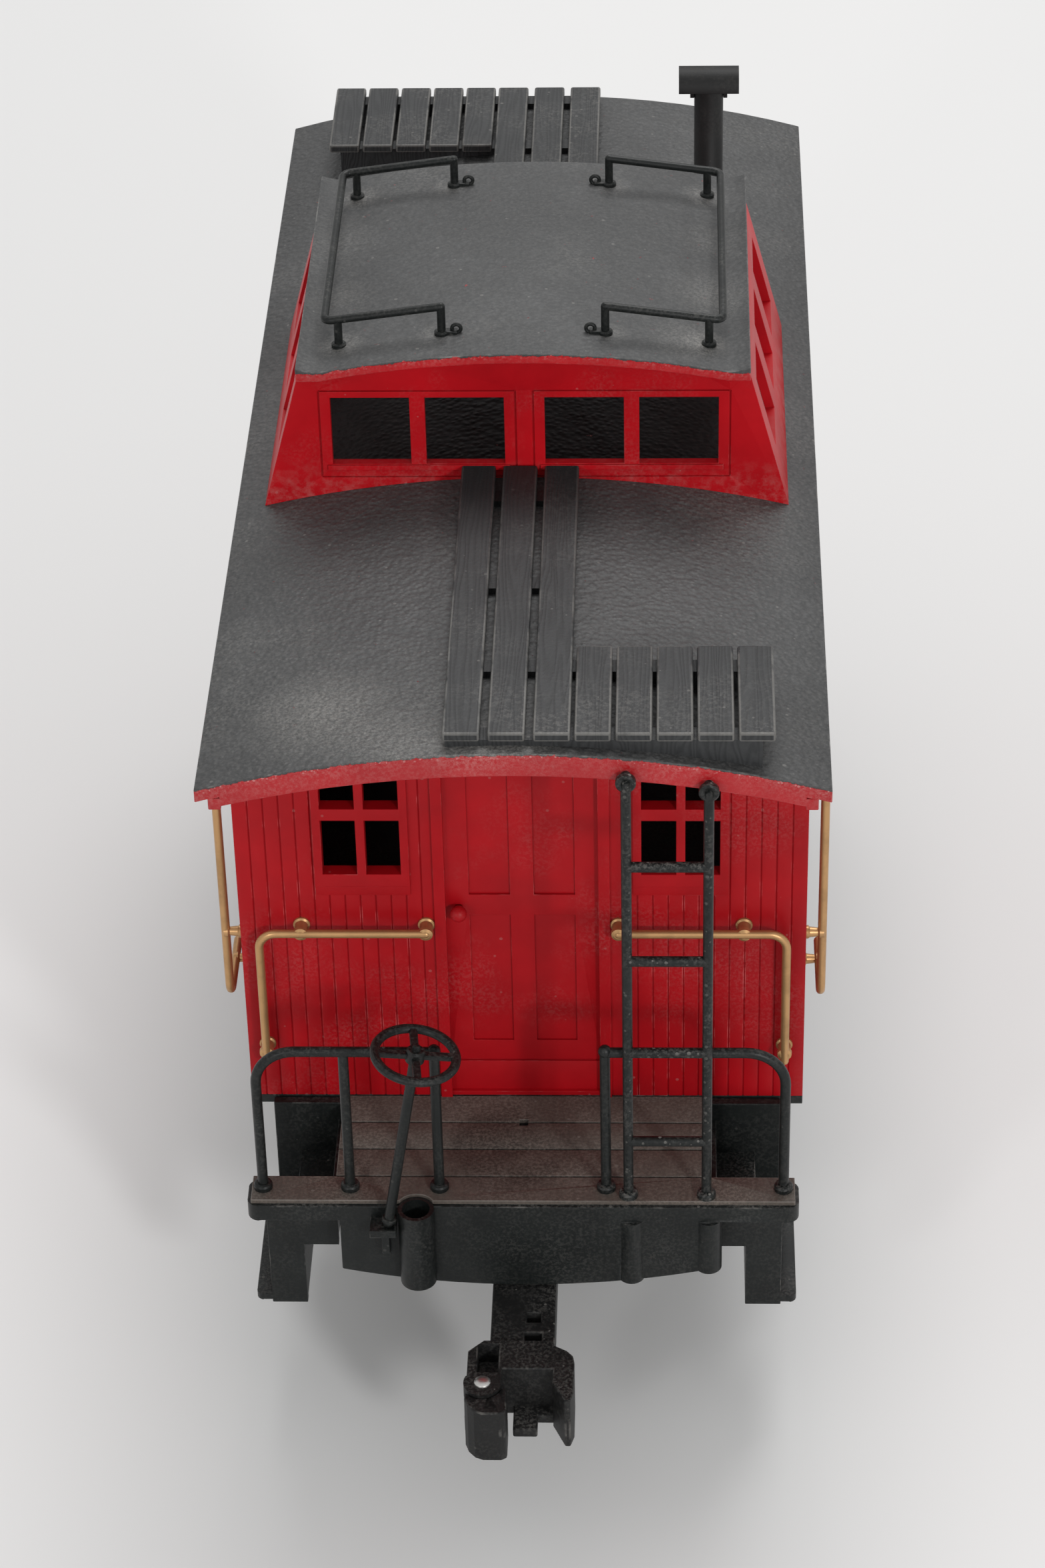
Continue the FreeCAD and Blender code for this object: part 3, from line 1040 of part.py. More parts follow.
def knuckle():
    """Hooked jaw of the coupler that turns on the pin between the lugs."""
    pin_y = out_y(KNUCKLE_PIN_OUT)
    axis = V(KNUCKLE_PIN_X, pin_y, HEAD_BOTTOM_Z - 5)
    hub_low = HEAD_LOW_Z + LUG_T + KNUCKLE_GAP
    hub_high = HEAD_TOP_Z - LUG_T - KNUCKLE_GAP
    left, right, tip = KNUCKLE_LEFT, KNUCKLE_RIGHT, out_y(KNUCKLE_TIP)
    root = pin_y - 1.0
    nose_plan = [(left, root), (left, tip + 4.2), (left + 0.7, tip + 2.2), (left + 2.0, tip + 0.7),
                 (left + 3.6, tip), (right - 1.2, tip), (right - 0.3, tip + 0.5), (right, tip + 1.4),
                 (right, root)]
    nose = plan_prism(nose_plan, HEAD_BOTTOM_Z, HEAD_TOP_Z - 2 * KNUCKLE_GAP)
    nose = nose.cut(Part.makeCylinder(LUG_R + KNUCKLE_GAP, 30, axis))
    hub = Part.makeCylinder(LUG_R - KNUCKLE_GAP, hub_high - hub_low, V(KNUCKLE_PIN_X, pin_y, hub_low))
    web_left, web_right = left + 0.4, right - 0.4
    web = plan_prism([(web_left, pin_y), (web_left, tip + 4.2), (web_right, tip + 4.2), (web_right, pin_y)],
                     hub_low, hub_high)
    bore = Part.makeCylinder(KNUCKLE_PIN_R + SHAFT_CLEARANCE, 30, axis)
    return fuse([nose, hub, web]).cut(bore)


def knuckle_pin():
    """Headed pin pressed through both lugs."""
    pin_y = out_y(KNUCKLE_PIN_OUT)
    shaft = Part.makeCylinder(KNUCKLE_PIN_R, HEAD_TOP_Z - HEAD_LOW_Z, V(KNUCKLE_PIN_X, pin_y, HEAD_LOW_Z))
    head = Part.makeCylinder(KNUCKLE_PIN_R + 0.5, PIN_HEAD_T, V(KNUCKLE_PIN_X, pin_y, HEAD_TOP_Z))
    rim = [e for e in head.Edges if abs(e.CenterOfMass.z - HEAD_TOP_Z - PIN_HEAD_T) < 0.01 and e.Length > 3]
    return fuse([shaft, head.makeFillet(PIN_HEAD_T / 2, rim)])


# ---- Running gear ----
def wheel():
    """Left front wheel: flange inboard, coned tread outboard, raised hub and rim."""
    inner = BACK_TO_BACK / 2
    flange_r = TREAD_R + FLANGE_DEPTH
    profile = [(inner, AXLE_R), (inner, flange_r - 1.0), (inner + 0.5, flange_r),
               (inner + FLANGE_W - 0.4, flange_r), (inner + FLANGE_W + 0.2, TREAD_R + 0.15),
               (inner + WHEEL_W - 0.4, TREAD_R - 0.1), (inner + WHEEL_W, TREAD_R - 0.6),
               (inner + WHEEL_W, TREAD_R - 2.6), (inner + WHEEL_W - 2.4, TREAD_R - 3.2),
               (inner + WHEEL_W - 2.4, 5.0), (inner + WHEEL_W, 4.2), (inner + WHEEL_W, AXLE_R)]
    y = -WHEELBASE / 2
    corners = [V(-x, y, AXLE_Z + r) for x, r in profile]
    face = Part.Face(Part.makePolygon(corners + corners[:1]))
    return face.revolve(V(0, y, AXLE_Z), X_AXIS, 360)


def axle():
    half = FRAME_IN + FRAME_T - 0.3
    y = -WHEELBASE / 2
    shaft = Part.makeCylinder(AXLE_R, 2 * half, V(-half, y, AXLE_Z), X_AXIS)
    ends = [e for e in shaft.Edges if abs(abs(e.CenterOfMass.x) - half) < 0.01 and e.Length > 3 * AXLE_R]
    return shaft.makeChamfer(0.3, ends)


def leaf_spring(y, x_out):
    """Stack of shortening leaves over one axle box, with the buckle that holds them."""
    leaves = []
    for index in range(SPRING_LEAVES):
        half = SPRING_HALF - SPRING_STEP * index
        z = FRAME_TOP_Z - SPRING_DROP - LEAF_PITCH * index
        leaves.append(box(x_out, x_out - LEAF_W, y - half, y + half, z - LEAF_T, z))
    leaves.append(box(x_out, x_out - BUCKLE_T, y - BUCKLE_HALF, y + BUCKLE_HALF, AXLE_Z + BOX_HALF - 0.1,
                      FRAME_TOP_Z - SPRING_DROP + BUCKLE_UP))
    return leaves


def side_frame():
    """Left side frame: long plate with two pedestals, axle boxes and leaf springs."""
    x_in, x_out = -FRAME_IN, -FRAME_IN - FRAME_T
    reach = WHEELBASE / 2 + FRAME_BEYOND
    pieces = [box(x_in, x_out, -reach, reach, FRAME_TOP_Z - FRAME_RAIL_H, FRAME_TOP_Z)]
    tools = []
    low = AXLE_Z - BOX_HALF - PEDESTAL_UNDER
    high = FRAME_TOP_Z - FRAME_RAIL_H + 1
    for y in (-WHEELBASE / 2, WHEELBASE / 2):
        corners = [V(x_in, y - PEDESTAL_TOP, high), V(x_in, y + PEDESTAL_TOP, high),
                   V(x_in, y + PEDESTAL_LOW, low), V(x_in, y - PEDESTAL_LOW, low)]
        pieces.append(Part.Face(Part.makePolygon(corners + corners[:1])).extrude(V(-FRAME_T, 0, 0)))
        for proud, half in ((BOX_T, BOX_HALF), (BOX_T + BOX_LID_T, BOX_HALF - BOX_LID)):
            pieces.append(box(x_out, x_out - proud, y - half, y + half, AXLE_Z - half, AXLE_Z + half))
        pieces += leaf_spring(y, x_out)
        tools.append(Part.makeCylinder(BUSH_R, FRAME_T, V(x_in, y, AXLE_Z), -X_AXIS))
    return cut(fuse(pieces), tools)


def axle_bushes():
    """Four plain brass bushes in the side frames."""
    bushes = []
    for x_side in (-1, 1):
        for y in (-WHEELBASE / 2, WHEELBASE / 2):
            start = V(x_side * FRAME_IN, y, AXLE_Z)
            out = X_AXIS * x_side
            body = Part.makeCylinder(BUSH_R, FRAME_T, start, out)
            bore = Part.makeCylinder(AXLE_R + SHAFT_CLEARANCE, FRAME_T + 2, start - out, out)
            bushes.append(body.cut(bore))
    return Part.makeCompound(bushes)


def underframe():
    """Floor plate under the body, two long sills, cross members and the screw recesses."""
    low = FLOOR_LOW_Z
    pieces = [box(-BODY_HALF, BODY_HALF, -BODY_END, BODY_END, low, FLOOR_HEIGHT)]
    beam_back = PLATFORM_EDGE - BEAM_T
    x_in = FRAME_IN - SILL_IN
    x_out = x_in + SILL_W
    for side in (-1, 1):
        pieces.append(box(side * x_in, side * x_out, -BODY_END, BODY_END, FRAME_TOP_Z, low + 0.1))
        pieces.append(box(side * x_in, side * x_out, -beam_back, beam_back, FRAME_TOP_Z, PLATFORM_UNDER_Z))
    for y in (CROSS_END - BODY_END, -CROSS_Y, CROSS_Y, BODY_END - CROSS_END):
        cross_z = FRAME_TOP_Z + CROSS_UP
        pieces.append(box(-x_in - 1, x_in + 1, y - CROSS_HALF, y + CROSS_HALF, cross_z, low + 0.1))
    tools = []
    recess_low = low - SCREW_RECESS_H
    for x, y in screw_places():
        foot = V(x, y, recess_low)
        pieces.append(Part.makeCylinder(SCREW_HEAD_R + SCREW_RECESS_WALL, SCREW_RECESS_H, foot))
        tools.append(Part.makeCylinder(SCREW_R, SCREW_RECESS_H + FLOOR_PLATE_T + 1, foot))
        tools.append(Part.makeCylinder(SCREW_HEAD_R + SCREW_RECESS_GAP, SCREW_HEAD_T, foot))
    return cut(fuse(pieces), tools)


def body_screws():
    """Four screws that hold the body down on the underframe."""
    screws = []
    head_z = SCREW_SEAT_Z - SCREW_HEAD_T
    half = SCREW_SLOT_W / 2
    for x, y in screw_places():
        shaft = Part.makeCylinder(SCREW_R, FLOOR_HEIGHT + SCREW_REACH - SCREW_SEAT_Z, V(x, y, SCREW_SEAT_Z))
        head = Part.makeCylinder(SCREW_HEAD_R, SCREW_HEAD_T, V(x, y, head_z))
        slot_top = head_z + SCREW_SLOT_DEPTH
        slot = box(x - SCREW_HEAD_R, x + SCREW_HEAD_R, y - half, y + half, head_z - 0.1, slot_top)
        screws.append(fuse([shaft, head]).cut(slot))
    return Part.makeCompound(screws)


def build():
    """Every node of the caboose by name."""
    nodes = {
        "body_shell": body_shell(),
        "door_knobs": door_knobs(),
        "roof_panel": roof_panel(),
        "cupola_shell": cupola_shell(),
        "cupola_roof": cupola_roof(),
        "cupola_rail_right": cupola_rail(),
        "cupola_rail_left": mirrored(cupola_rail()),
        "smokejack_stem": smokejack_stem(),
        "smokejack_hood": smokejack_hood(),
        "underframe": underframe(),
        "side_frame_left": side_frame(),
        "side_frame_right": mirrored(side_frame()),
        "axle_bushes": axle_bushes(),
        "body_screws": body_screws(),
    }
    pairs = {
        "roof_walk": roof_walk(),
        "platform_frame": platform_frame(),
        "platform_deck": platform_deck(),
        "ladder": ladder(),
        "brake_side_railing": end_railing(RAILING_POSTS),
        "ladder_side_railing": mirrored(end_railing((RAILING_POSTS[0], RAILING_POSTS[-1]))),
        "end_grab_rail_left": end_grab(),
        "end_grab_rail_right": mirrored(end_grab()),
        "side_grab_rail_left": side_grab(),
        "side_grab_rail_right": mirrored(side_grab()),
        "steps_left": step_unit(),
        "steps_right": mirrored(step_unit()),
        "brake_bracket": brake_bracket(),
        "brake_staff": brake_staff(),
        "brake_wheel": brake_wheel(),
        "coupler_mount": coupler_mount(),
        "coupler_pivot_screw": coupler_pivot_screw(),
        "coupler_body": coupler_body(),
        "coupler_knuckle": knuckle(),
        "knuckle_pin": knuckle_pin(),
        "axle": axle(),
        "wheel_left": wheel(),
        "wheel_right": mirrored(wheel()),
    }
    for name, shape in pairs.items():
        nodes["front_" + name] = shape
        nodes["rear_" + name] = turned(shape)
    return nodes


def main():
    os.makedirs("parts", exist_ok=True)
    for name, shape in build().items():
        shape.exportStep("parts/" + name + ".step")


main()
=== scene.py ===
import math

import bmesh
import bpy
from bpy.props import FloatProperty, FloatVectorProperty, IntProperty, PointerProperty
from mathutils import Matrix, Vector


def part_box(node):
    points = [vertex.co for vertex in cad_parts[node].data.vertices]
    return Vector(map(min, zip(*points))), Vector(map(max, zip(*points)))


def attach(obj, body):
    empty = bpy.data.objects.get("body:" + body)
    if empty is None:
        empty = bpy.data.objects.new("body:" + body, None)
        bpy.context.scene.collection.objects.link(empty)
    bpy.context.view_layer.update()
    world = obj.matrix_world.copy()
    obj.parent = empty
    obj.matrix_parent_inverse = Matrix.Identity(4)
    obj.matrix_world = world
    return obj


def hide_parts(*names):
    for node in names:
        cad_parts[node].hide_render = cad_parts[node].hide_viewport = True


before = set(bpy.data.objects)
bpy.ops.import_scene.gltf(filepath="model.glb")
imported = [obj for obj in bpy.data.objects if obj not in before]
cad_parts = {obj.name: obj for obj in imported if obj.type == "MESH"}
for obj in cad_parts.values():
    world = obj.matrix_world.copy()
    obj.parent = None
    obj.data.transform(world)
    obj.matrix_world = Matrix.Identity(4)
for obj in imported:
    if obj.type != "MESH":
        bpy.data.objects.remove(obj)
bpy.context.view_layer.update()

bl_info = {
    "name": "Bobber Caboose",
    "version": (1, 0, 0),
    "blender": (4, 5, 0),
    "location": "3D View > Sidebar > Caboose",
    "description": "Builds the finished pieces of a four-wheel model caboose on its packed frame",
    "category": "Object",
}

MM = 0.001
HALF_TURN = Matrix.Rotation(math.pi, 4, "Z")
MIRROR = Matrix.Scale(-1, 4, (1, 0, 0))
ENDS = ("front_", "rear_")
SHARP = math.radians(28)
SMOOTH_BELOW = math.radians(21)
FLAT = math.radians(0.6)
WELD = 2e-6
GROOVE_WIDTH = 0.62 * MM
CAMERA_PLACE = (0.02997, -0.77745, 0.63110)
CAMERA_FORWARD = (-0.03511, 0.80737, -0.58901)
CAMERA_RIGHT = (0.99906, 0.04345, 0.0)
CAMERA_ROLL = math.radians(1.4406)
CAMERA_LENS, CAMERA_SENSOR = 97.74, 36.0
MATERIALS = {}

# The cupola's red against the body's: the same red painted lighter on the cupola, as painted light
CUPOLA_PAINTED_LIGHT = 1.25

# Roof arches, board pitch and half the length of roof under the cupola that is painted dark as shade, in
# metres
ROOF_RISE = 8.4 * MM
CUPOLA_FLAT, CUPOLA_RISE = 41.3 * MM, 4.15 * MM
SHORT_PITCH = 7.68 * MM
CUPOLA_SHADE_HALF_LENGTH = 35.5 * MM

# Painted shade on the walk boards next to the cupola fades out between these distances from the middle of the
# car, in millimetres
CUPOLA_SHADE_ON_BOARDS = (42.0, 116.0)

# Stain on the deck: its centre and reach in millimetres
DECK_STAIN, DECK_STAIN_REACH = (-3.0, -121.5, 60.6), 15.0

# Dusty places on the roofs: (centre in millimetres, reach in millimetres, amount)
ROOF_DUST = (((-36.0, -117.0, 164.0), 17.0, 0.30), ((-20.0, -131.0, 166.5), 16.0, 0.26),
             ((-2.0, -132.0, 168.0), 14.0, 0.30), ((42.0, -40.0, 163.5), 18.0, 0.12))
CUPOLA_DUST = (((36.8, 31.0, 196.5), 5.5, 0.34), ((17.5, 31.0, 199.0), 4.5, 0.22),
               ((33.0, -31.0, 197.0), 9.0, 0.22), ((38.5, 12.0, 196.5), 9.0, 0.10),
               ((38.5, -10.0, 196.5), 12.0, 0.10))


def mm(*values):
    """A point given in millimetres."""
    return Vector(values) * MM


def scaled(colour, factor, lift=0.0):
    """A lighter or darker version of a colour."""
    return tuple(min(1.0, value * factor + lift) for value in colour)


# ---- Settings ----
def tone(name, description, default):
    """A surface colour setting."""
    return FloatVectorProperty(name=name, description=description, subtype="COLOR", size=3,
                               min=0.0, max=1.0, default=default)


def share(name, description, default):
    """A setting that runs from nothing to full."""
    return FloatProperty(name=name, description=description, subtype="FACTOR", min=0.0, max=1.0,
                         default=default)


def count(name, description, low, high, default):
    """A setting that counts sub-parts."""
    return IntProperty(name=name, description=description, min=low, max=high, default=default)


def power(name, description, default):
    """The power of a lamp."""
    return FloatProperty(name=name, description=description, unit="POWER", min=0.0, max=500.0,
                         default=default)


def length(name, description, default):
    """A size setting in metres."""
    return FloatProperty(name=name, description=description, subtype="DISTANCE", unit="LENGTH",
                         min=0.0, max=1.0, precision=5, default=default)


class CabooseFinish(bpy.types.PropertyGroup):
    """Colours and wear of the caboose."""
    red: tone("Car red", "Moulded body and cupola", (0.36, 0.0035, 0.0075))
    red_worn: tone("Rubbed red", "Red plastic where it is scuffed", (0.55, 0.12, 0.12))
    roof: tone("Roof charcoal", "Pebbled roof coat", (0.050, 0.051, 0.052))
    boards: tone("Walk boards", "Roof walk planks", (0.026, 0.027, 0.028))
    deck: tone("Deck brown", "Platform boards", (0.080, 0.066, 0.056))
    gold: tone("Grab rail gold", "Gold grab rails", (0.50, 0.29, 0.13))
    black: tone("Frame black", "Platforms, railings and ladders", (0.0065, 0.0078, 0.0076))
    soot: tone("Soot black", "Smokejack and coupler", (0.0085, 0.0085, 0.0085))
    dust: tone("Dust", "Dust and chalky specks", (0.42, 0.40, 0.37))
    dustiness: share("Dustiness", "How much dust lies on the car", 0.5)
    edge_rub: share("Edge rub", "How worn the corners are", 0.5)


class CabooseSizes(bpy.types.PropertyGroup):
    """Sizes that shape the finished pieces."""
    edge: length("Edge softness", "Rounding of the moulded corners", 0.14 * MM)
    plank_edge: length("Plank rounding", "Rounding of the roof walk planks", 0.45 * MM)
    long_planks: count("Long planks", "Planks that run to the cupola", 1, 6, 3)
    short_planks: count("Short planks", "Planks beside the ladder", 1, 8, 5)
    rungs: count("Rungs", "Rungs in each ladder", 2, 8, 4)
    spokes: count("Spokes", "Spokes in each brake wheel", 3, 8, 4)
    bar_sides: count("Bar roundness", "Sides of a round bar", 8, 48, 20)


class CabooseStage(bpy.types.PropertyGroup):
    """Floor and studio light."""
    floor: tone("Floor", "Pale studio floor", (0.665, 0.662, 0.658))
    ambient: FloatProperty(name="Ambient", description="Strength of the even light", min=0.0, max=5.0,
                           default=0.66)
    key: power("Key light", "Power of the main softbox", 7.2)
    side: power("Left light", "Power of the softbox on the left", 2.4)
    fill: power("Back light", "Power of the softbox behind the car", 20.0)


# ---- Node trees ----
class Graph:
    """Adds nodes to a tree and wires their inputs in one step."""

    def __init__(self, tree):
        self.tree = tree

    def add(self, kind, inputs=None, **settings):
        node = self.tree.nodes.new(kind)
        for key, value in settings.items():
            setattr(node, key, value)
        for key, value in (inputs or {}).items():
            self.feed(node.inputs[key], value)
        return node

    def feed(self, socket, value):
        if isinstance(value, bpy.types.NodeSocket):
            self.tree.links.new(value, socket)
        else:
            socket.default_value = value

    def math(self, operation, first, second=0.0, clamp=False):
        node = self.add("ShaderNodeMath", {0: first, 1: second}, operation=operation, use_clamp=clamp)
        return node.outputs[0]

    def times(self, first, second):
        return self.math("MULTIPLY", first, second)

    def ramp(self, value, low, high, out_low=0.0, out_high=1.0):
        node = self.add("ShaderNodeMapRange", {"Value": value, "From Min": low, "From Max": high,
                                               "To Min": out_low, "To Max": out_high}, clamp=True)
        return node.outputs["Result"]

    def mix(self, amount, first, second):
        node = self.add("ShaderNodeMix", data_type="RGBA")
        self.feed(node.inputs[0], amount)
        for socket, value in ((node.inputs[6], first), (node.inputs[7], second)):
            if not isinstance(value, bpy.types.NodeSocket):
                value = tuple(value)[:3] + (1.0,)
            self.feed(socket, value)
        return node.outputs[2]

    def noise(self, vector, scale, detail=3.0, rough=0.55, distortion=0.0):
        node = self.add("ShaderNodeTexNoise", {"Vector": vector, "Scale": scale, "Detail": detail,
                                               "Roughness": rough, "Distortion": distortion})
        return node.outputs["Fac"]


def new_group(name, kind, inputs, outputs):
    """A node group with named sockets: (name, socket type, default)."""
    tree = bpy.data.node_groups.new(name, kind)
    for label, socket, default in inputs:
        made = tree.interface.new_socket(name=label, in_out="INPUT", socket_type=socket)
        if default is not None:
            made.default_value = default
    for label, socket in outputs:
        tree.interface.new_socket(name=label, in_out="OUTPUT", socket_type=socket)
    graph = Graph(tree)
    return graph, graph.add("NodeGroupInput").outputs, graph.add("NodeGroupOutput").inputs


FLOAT, INTEGER, VECTOR = "NodeSocketFloat", "NodeSocketInt", "NodeSocketVector"
GEOMETRY, MATERIAL = "NodeSocketGeometry", "NodeSocketMaterial"


def shader_group(name, outputs, **inputs):
    """A shader group that takes a place and some numbers, and gives numbers."""
    numbers = [(label, FLOAT, default) for label, default in inputs.items()]
    return new_group(name, "ShaderNodeTree", [("Vector", VECTOR, None)] + numbers,
                     [(label, FLOAT) for label in outputs])


def geometry_group(name, *inputs):
    """A geometry tree that coats what it makes with one finish."""
    return new_group(name, "GeometryNodeTree",
                     [("Geometry", GEOMETRY, None), *inputs, ("Finish", MATERIAL, None)],
                     [("Geometry", GEOMETRY)])


def specks_group():
    """Scattered chalky specks: a few cells of a fine Voronoi, each with its own size."""
    graph, given, out = shader_group("Chalk Specks", ["Mask"], Scale=900.0, Coverage=0.1, Size=0.35)
    cells = graph.add("ShaderNodeTexVoronoi", {"Vector": given["Vector"], "Scale": given["Scale"]})
    parts = graph.add("ShaderNodeSeparateColor", {0: cells.outputs["Color"]})
    reach = graph.times(parts.outputs[0], given["Size"])
    near = graph.math("LESS_THAN", cells.outputs["Distance"], reach)
    chosen = graph.math("LESS_THAN", parts.outputs[1], given["Coverage"])
    graph.feed(out["Mask"], graph.times(near, chosen))
    return graph.tree


def dust_group(specks):
    """Soft drifts of dust broken up by specks."""
    graph, given, out = shader_group("Settled Dust", ["Mask"], Scale=30.0, Low=0.5, High=0.8, Fleck=0.08)
    drift = graph.ramp(graph.noise(given["Vector"], given["Scale"], 5.0, 0.6), given["Low"], given["High"])
    fine = graph.ramp(graph.noise(given["Vector"], 1500.0, 2.0, 0.7), 0.45, 0.62)
    soft = graph.times(drift, fine)
    fleck = graph.add("ShaderNodeGroup", {}, node_tree=specks)
    graph.feed(fleck.inputs["Vector"], given["Vector"])
    graph.feed(fleck.inputs["Coverage"], given["Fleck"])
    graph.feed(out["Mask"], graph.math("MAXIMUM", soft, fleck.outputs[0], True))
    return graph.tree


def rub_group():
    """Wear on the rounded corners, broken up along their length."""
    graph, given, out = shader_group("Rubbed Corners", ["Mask"], Amount=0.5, Scale=120.0)
    corner = graph.add("ShaderNodeAttribute", attribute_name="rub", attribute_type="GEOMETRY").outputs["Fac"]
    broken = graph.noise(given["Vector"], given["Scale"], 4.0, 0.7)
    start = graph.math("SUBTRACT", 0.82, graph.times(given["Amount"], 0.55))
    worn = graph.ramp(broken, start, graph.math("ADD", start, 0.16))
    graph.feed(out["Mask"], graph.times(corner, worn))
    return graph.tree


def pebble_group():
    """Pebbled roofing skin."""
    graph, given, out = shader_group("Pebbled Skin", ["Height"], Scale=850.0)
    cells = graph.add("ShaderNodeTexVoronoi", {"Vector": given["Vector"], "Scale": given["Scale"],
                                               "Smoothness": 0.7}, feature="SMOOTH_F1")
    lumps = graph.math("SUBTRACT", 1.0, cells.outputs["Distance"])
    broad = graph.noise(given["Vector"], graph.times(given["Scale"], 0.35), 3.0, 0.6)
    graph.feed(out["Height"], graph.times(lumps, graph.ramp(broad, 0.25, 0.75, 0.35, 1.0)))
    return graph.tree


def grain_group():
    """Long wood grain along Y, different in each board across X."""
    graph, given, out = shader_group("Board Grain", ["Lines", "Shade"], Pitch=0.0077, Lines=900.0, Swirl=6.0)
    place = graph.add("ShaderNodeSeparateXYZ", {0: given["Vector"]}).outputs
    board = graph.math("FLOOR", graph.math("DIVIDE", place["X"], given["Pitch"]))
    shift = graph.times(board, 0.731)
    along = graph.times(place["Y"], 0.09)
    base = graph.add("ShaderNodeCombineXYZ", {"X": place["X"], "Y": graph.math("ADD", along, shift),
                                              "Z": graph.times(place["Z"], 0.3)})
    warp = graph.noise(base.outputs[0], 190.0, 2.0, 0.5)
    turns = graph.math("ADD", graph.times(place["X"], given["Lines"]),
                       graph.times(warp, graph.times(given["Swirl"], 6.0)))
    bands = graph.math("ABSOLUTE", graph.math("SINE", turns))
    graph.feed(out["Lines"], graph.ramp(bands, 0.35, 0.95))
    tones = graph.add("ShaderNodeTexWhiteNoise", {"W": board}, noise_dimensions="1D")
    graph.feed(out["Shade"], tones.outputs["Value"])
    return graph.tree


def shader_groups():
    """Every shared shader group, made once."""
    specks = specks_group()
    return {"specks": specks, "dust": dust_group(specks), "rub": rub_group(), "pebble": pebble_group(),
            "grain": grain_group()}


class Finish:
    """One material under construction, with its object coordinates and its Principled shader."""

    def __init__(self, name, roughness, specular=0.5, metallic=0.0):
        self.material = bpy.data.materials.new(name)
        self.material.use_nodes = True
        self.graph = Graph(self.material.node_tree)
        self.shader = self.material.node_tree.nodes["Principled BSDF"]
        self.place = self.graph.add("ShaderNodeTexCoord").outputs["Object"]
        self.shader.inputs["Roughness"].default_value = roughness
        self.shader.inputs["Metallic"].default_value = metallic
        self.shader.inputs["Specular IOR Level"].default_value = specular

    def group(self, tree, output=0, **inputs):
        node = self.graph.add("ShaderNodeGroup", {}, node_tree=tree)
        self.graph.feed(node.inputs["Vector"], self.place)
        for key, value in inputs.items():
            self.graph.feed(node.inputs[key], value)
        return node.outputs[output]

    def colour(self, value):
        self.graph.feed(self.shader.inputs["Base Color"], value)

    def rough(self, value):
        self.graph.feed(self.shader.inputs["Roughness"], value)

    def bump(self, height, depth, strength=1.0):
        node = self.graph.add("ShaderNodeBump", {"Height": height, "Distance": depth, "Strength": strength})
        self.graph.feed(self.shader.inputs["Normal"], node.outputs[0])

    def near(self, spot, reach):
        """Fades out round a spot that counts on all four sides of the car when its X and Y are positive."""
        place = self.place
        if spot[0] > 0 and spot[1] > 0:
            place = self.graph.add("ShaderNodeVectorMath", {0: place}, operation="ABSOLUTE").outputs[0]
        away = self.graph.add("ShaderNodeVectorMath", {0: place, 1: tuple(mm(*spot))}, operation="DISTANCE")
        return self.graph.ramp(away.outputs["Value"], 0.15 * reach * MM, reach * MM, 1.0, 0.0)

    def facing_up(self, low=0.3, high=0.9):
        normal = self.graph.add("ShaderNodeNewGeometry").outputs["Normal"]
        height = self.graph.add("ShaderNodeSeparateXYZ", {0: normal}).outputs["Z"]
        return self.graph.ramp(height, low, high)


def red_colour(finish, looks, groups, painted_light=1.0):
    """Crimson moulding with faint mottling, painted shade in the grooves, rubbed corners and dust."""
    graph = finish.graph
    mottle = graph.noise(finish.place, 55.0, 4.0, 0.6)
    # A factor above one paints the red lighter, as painted light on the cupola
    full = scaled(looks.red, painted_light)
    deep = scaled(full, 0.78)
    tint = graph.mix(graph.ramp(mottle, 0.35, 0.7), deep, full)
    # Narrow grooves painted darker, as painted shade
    groove_shade = graph.add("ShaderNodeAttribute", attribute_name="groove_shade").outputs["Fac"]
    tint = graph.mix(graph.times(groove_shade, 0.22), tint, scaled(looks.red, 0.12))
    rub = finish.group(groups["rub"], Amount=looks.edge_rub)
    tint = graph.mix(graph.times(rub, 0.55), tint, looks.red_worn)
    dust = finish.group(groups["dust"], Scale=42.0, Low=0.50, High=0.85, Fleck=0.012)
    return graph.mix(graph.times(dust, 0.22 * looks.dustiness), tint, looks.dust), dust


def make_red(name, looks, groups, painted_light=1.0, base_z=None):
    """Red moulding, chalky where it meets the roof when that height is given."""
    finish = Finish(name, 0.42, 0.17)
    graph = finish.graph
    tint, dust = red_colour(finish, looks, groups, painted_light)
    if base_z is not None:
        height = graph.add("ShaderNodeSeparateXYZ", {0: finish.place}).outputs["Z"]
        low = graph.ramp(height, base_z - 6 * MM, base_z + 5 * MM, 1.0, 0.0)
        chalk = graph.ramp(graph.noise(finish.place, 330.0, 5.0, 0.75), 0.46, 0.72)
        tint = graph.mix(graph.times(graph.times(chalk, low), 0.24), tint, looks.dust)
    finish.colour(tint)
    finish.rough(graph.ramp(dust, 0.0, 1.0, 0.42, 0.65))
    finish.bump(graph.noise(finish.place, 1300.0, 2.0, 0.5), 0.03 * MM, 0.5)
    return finish.material


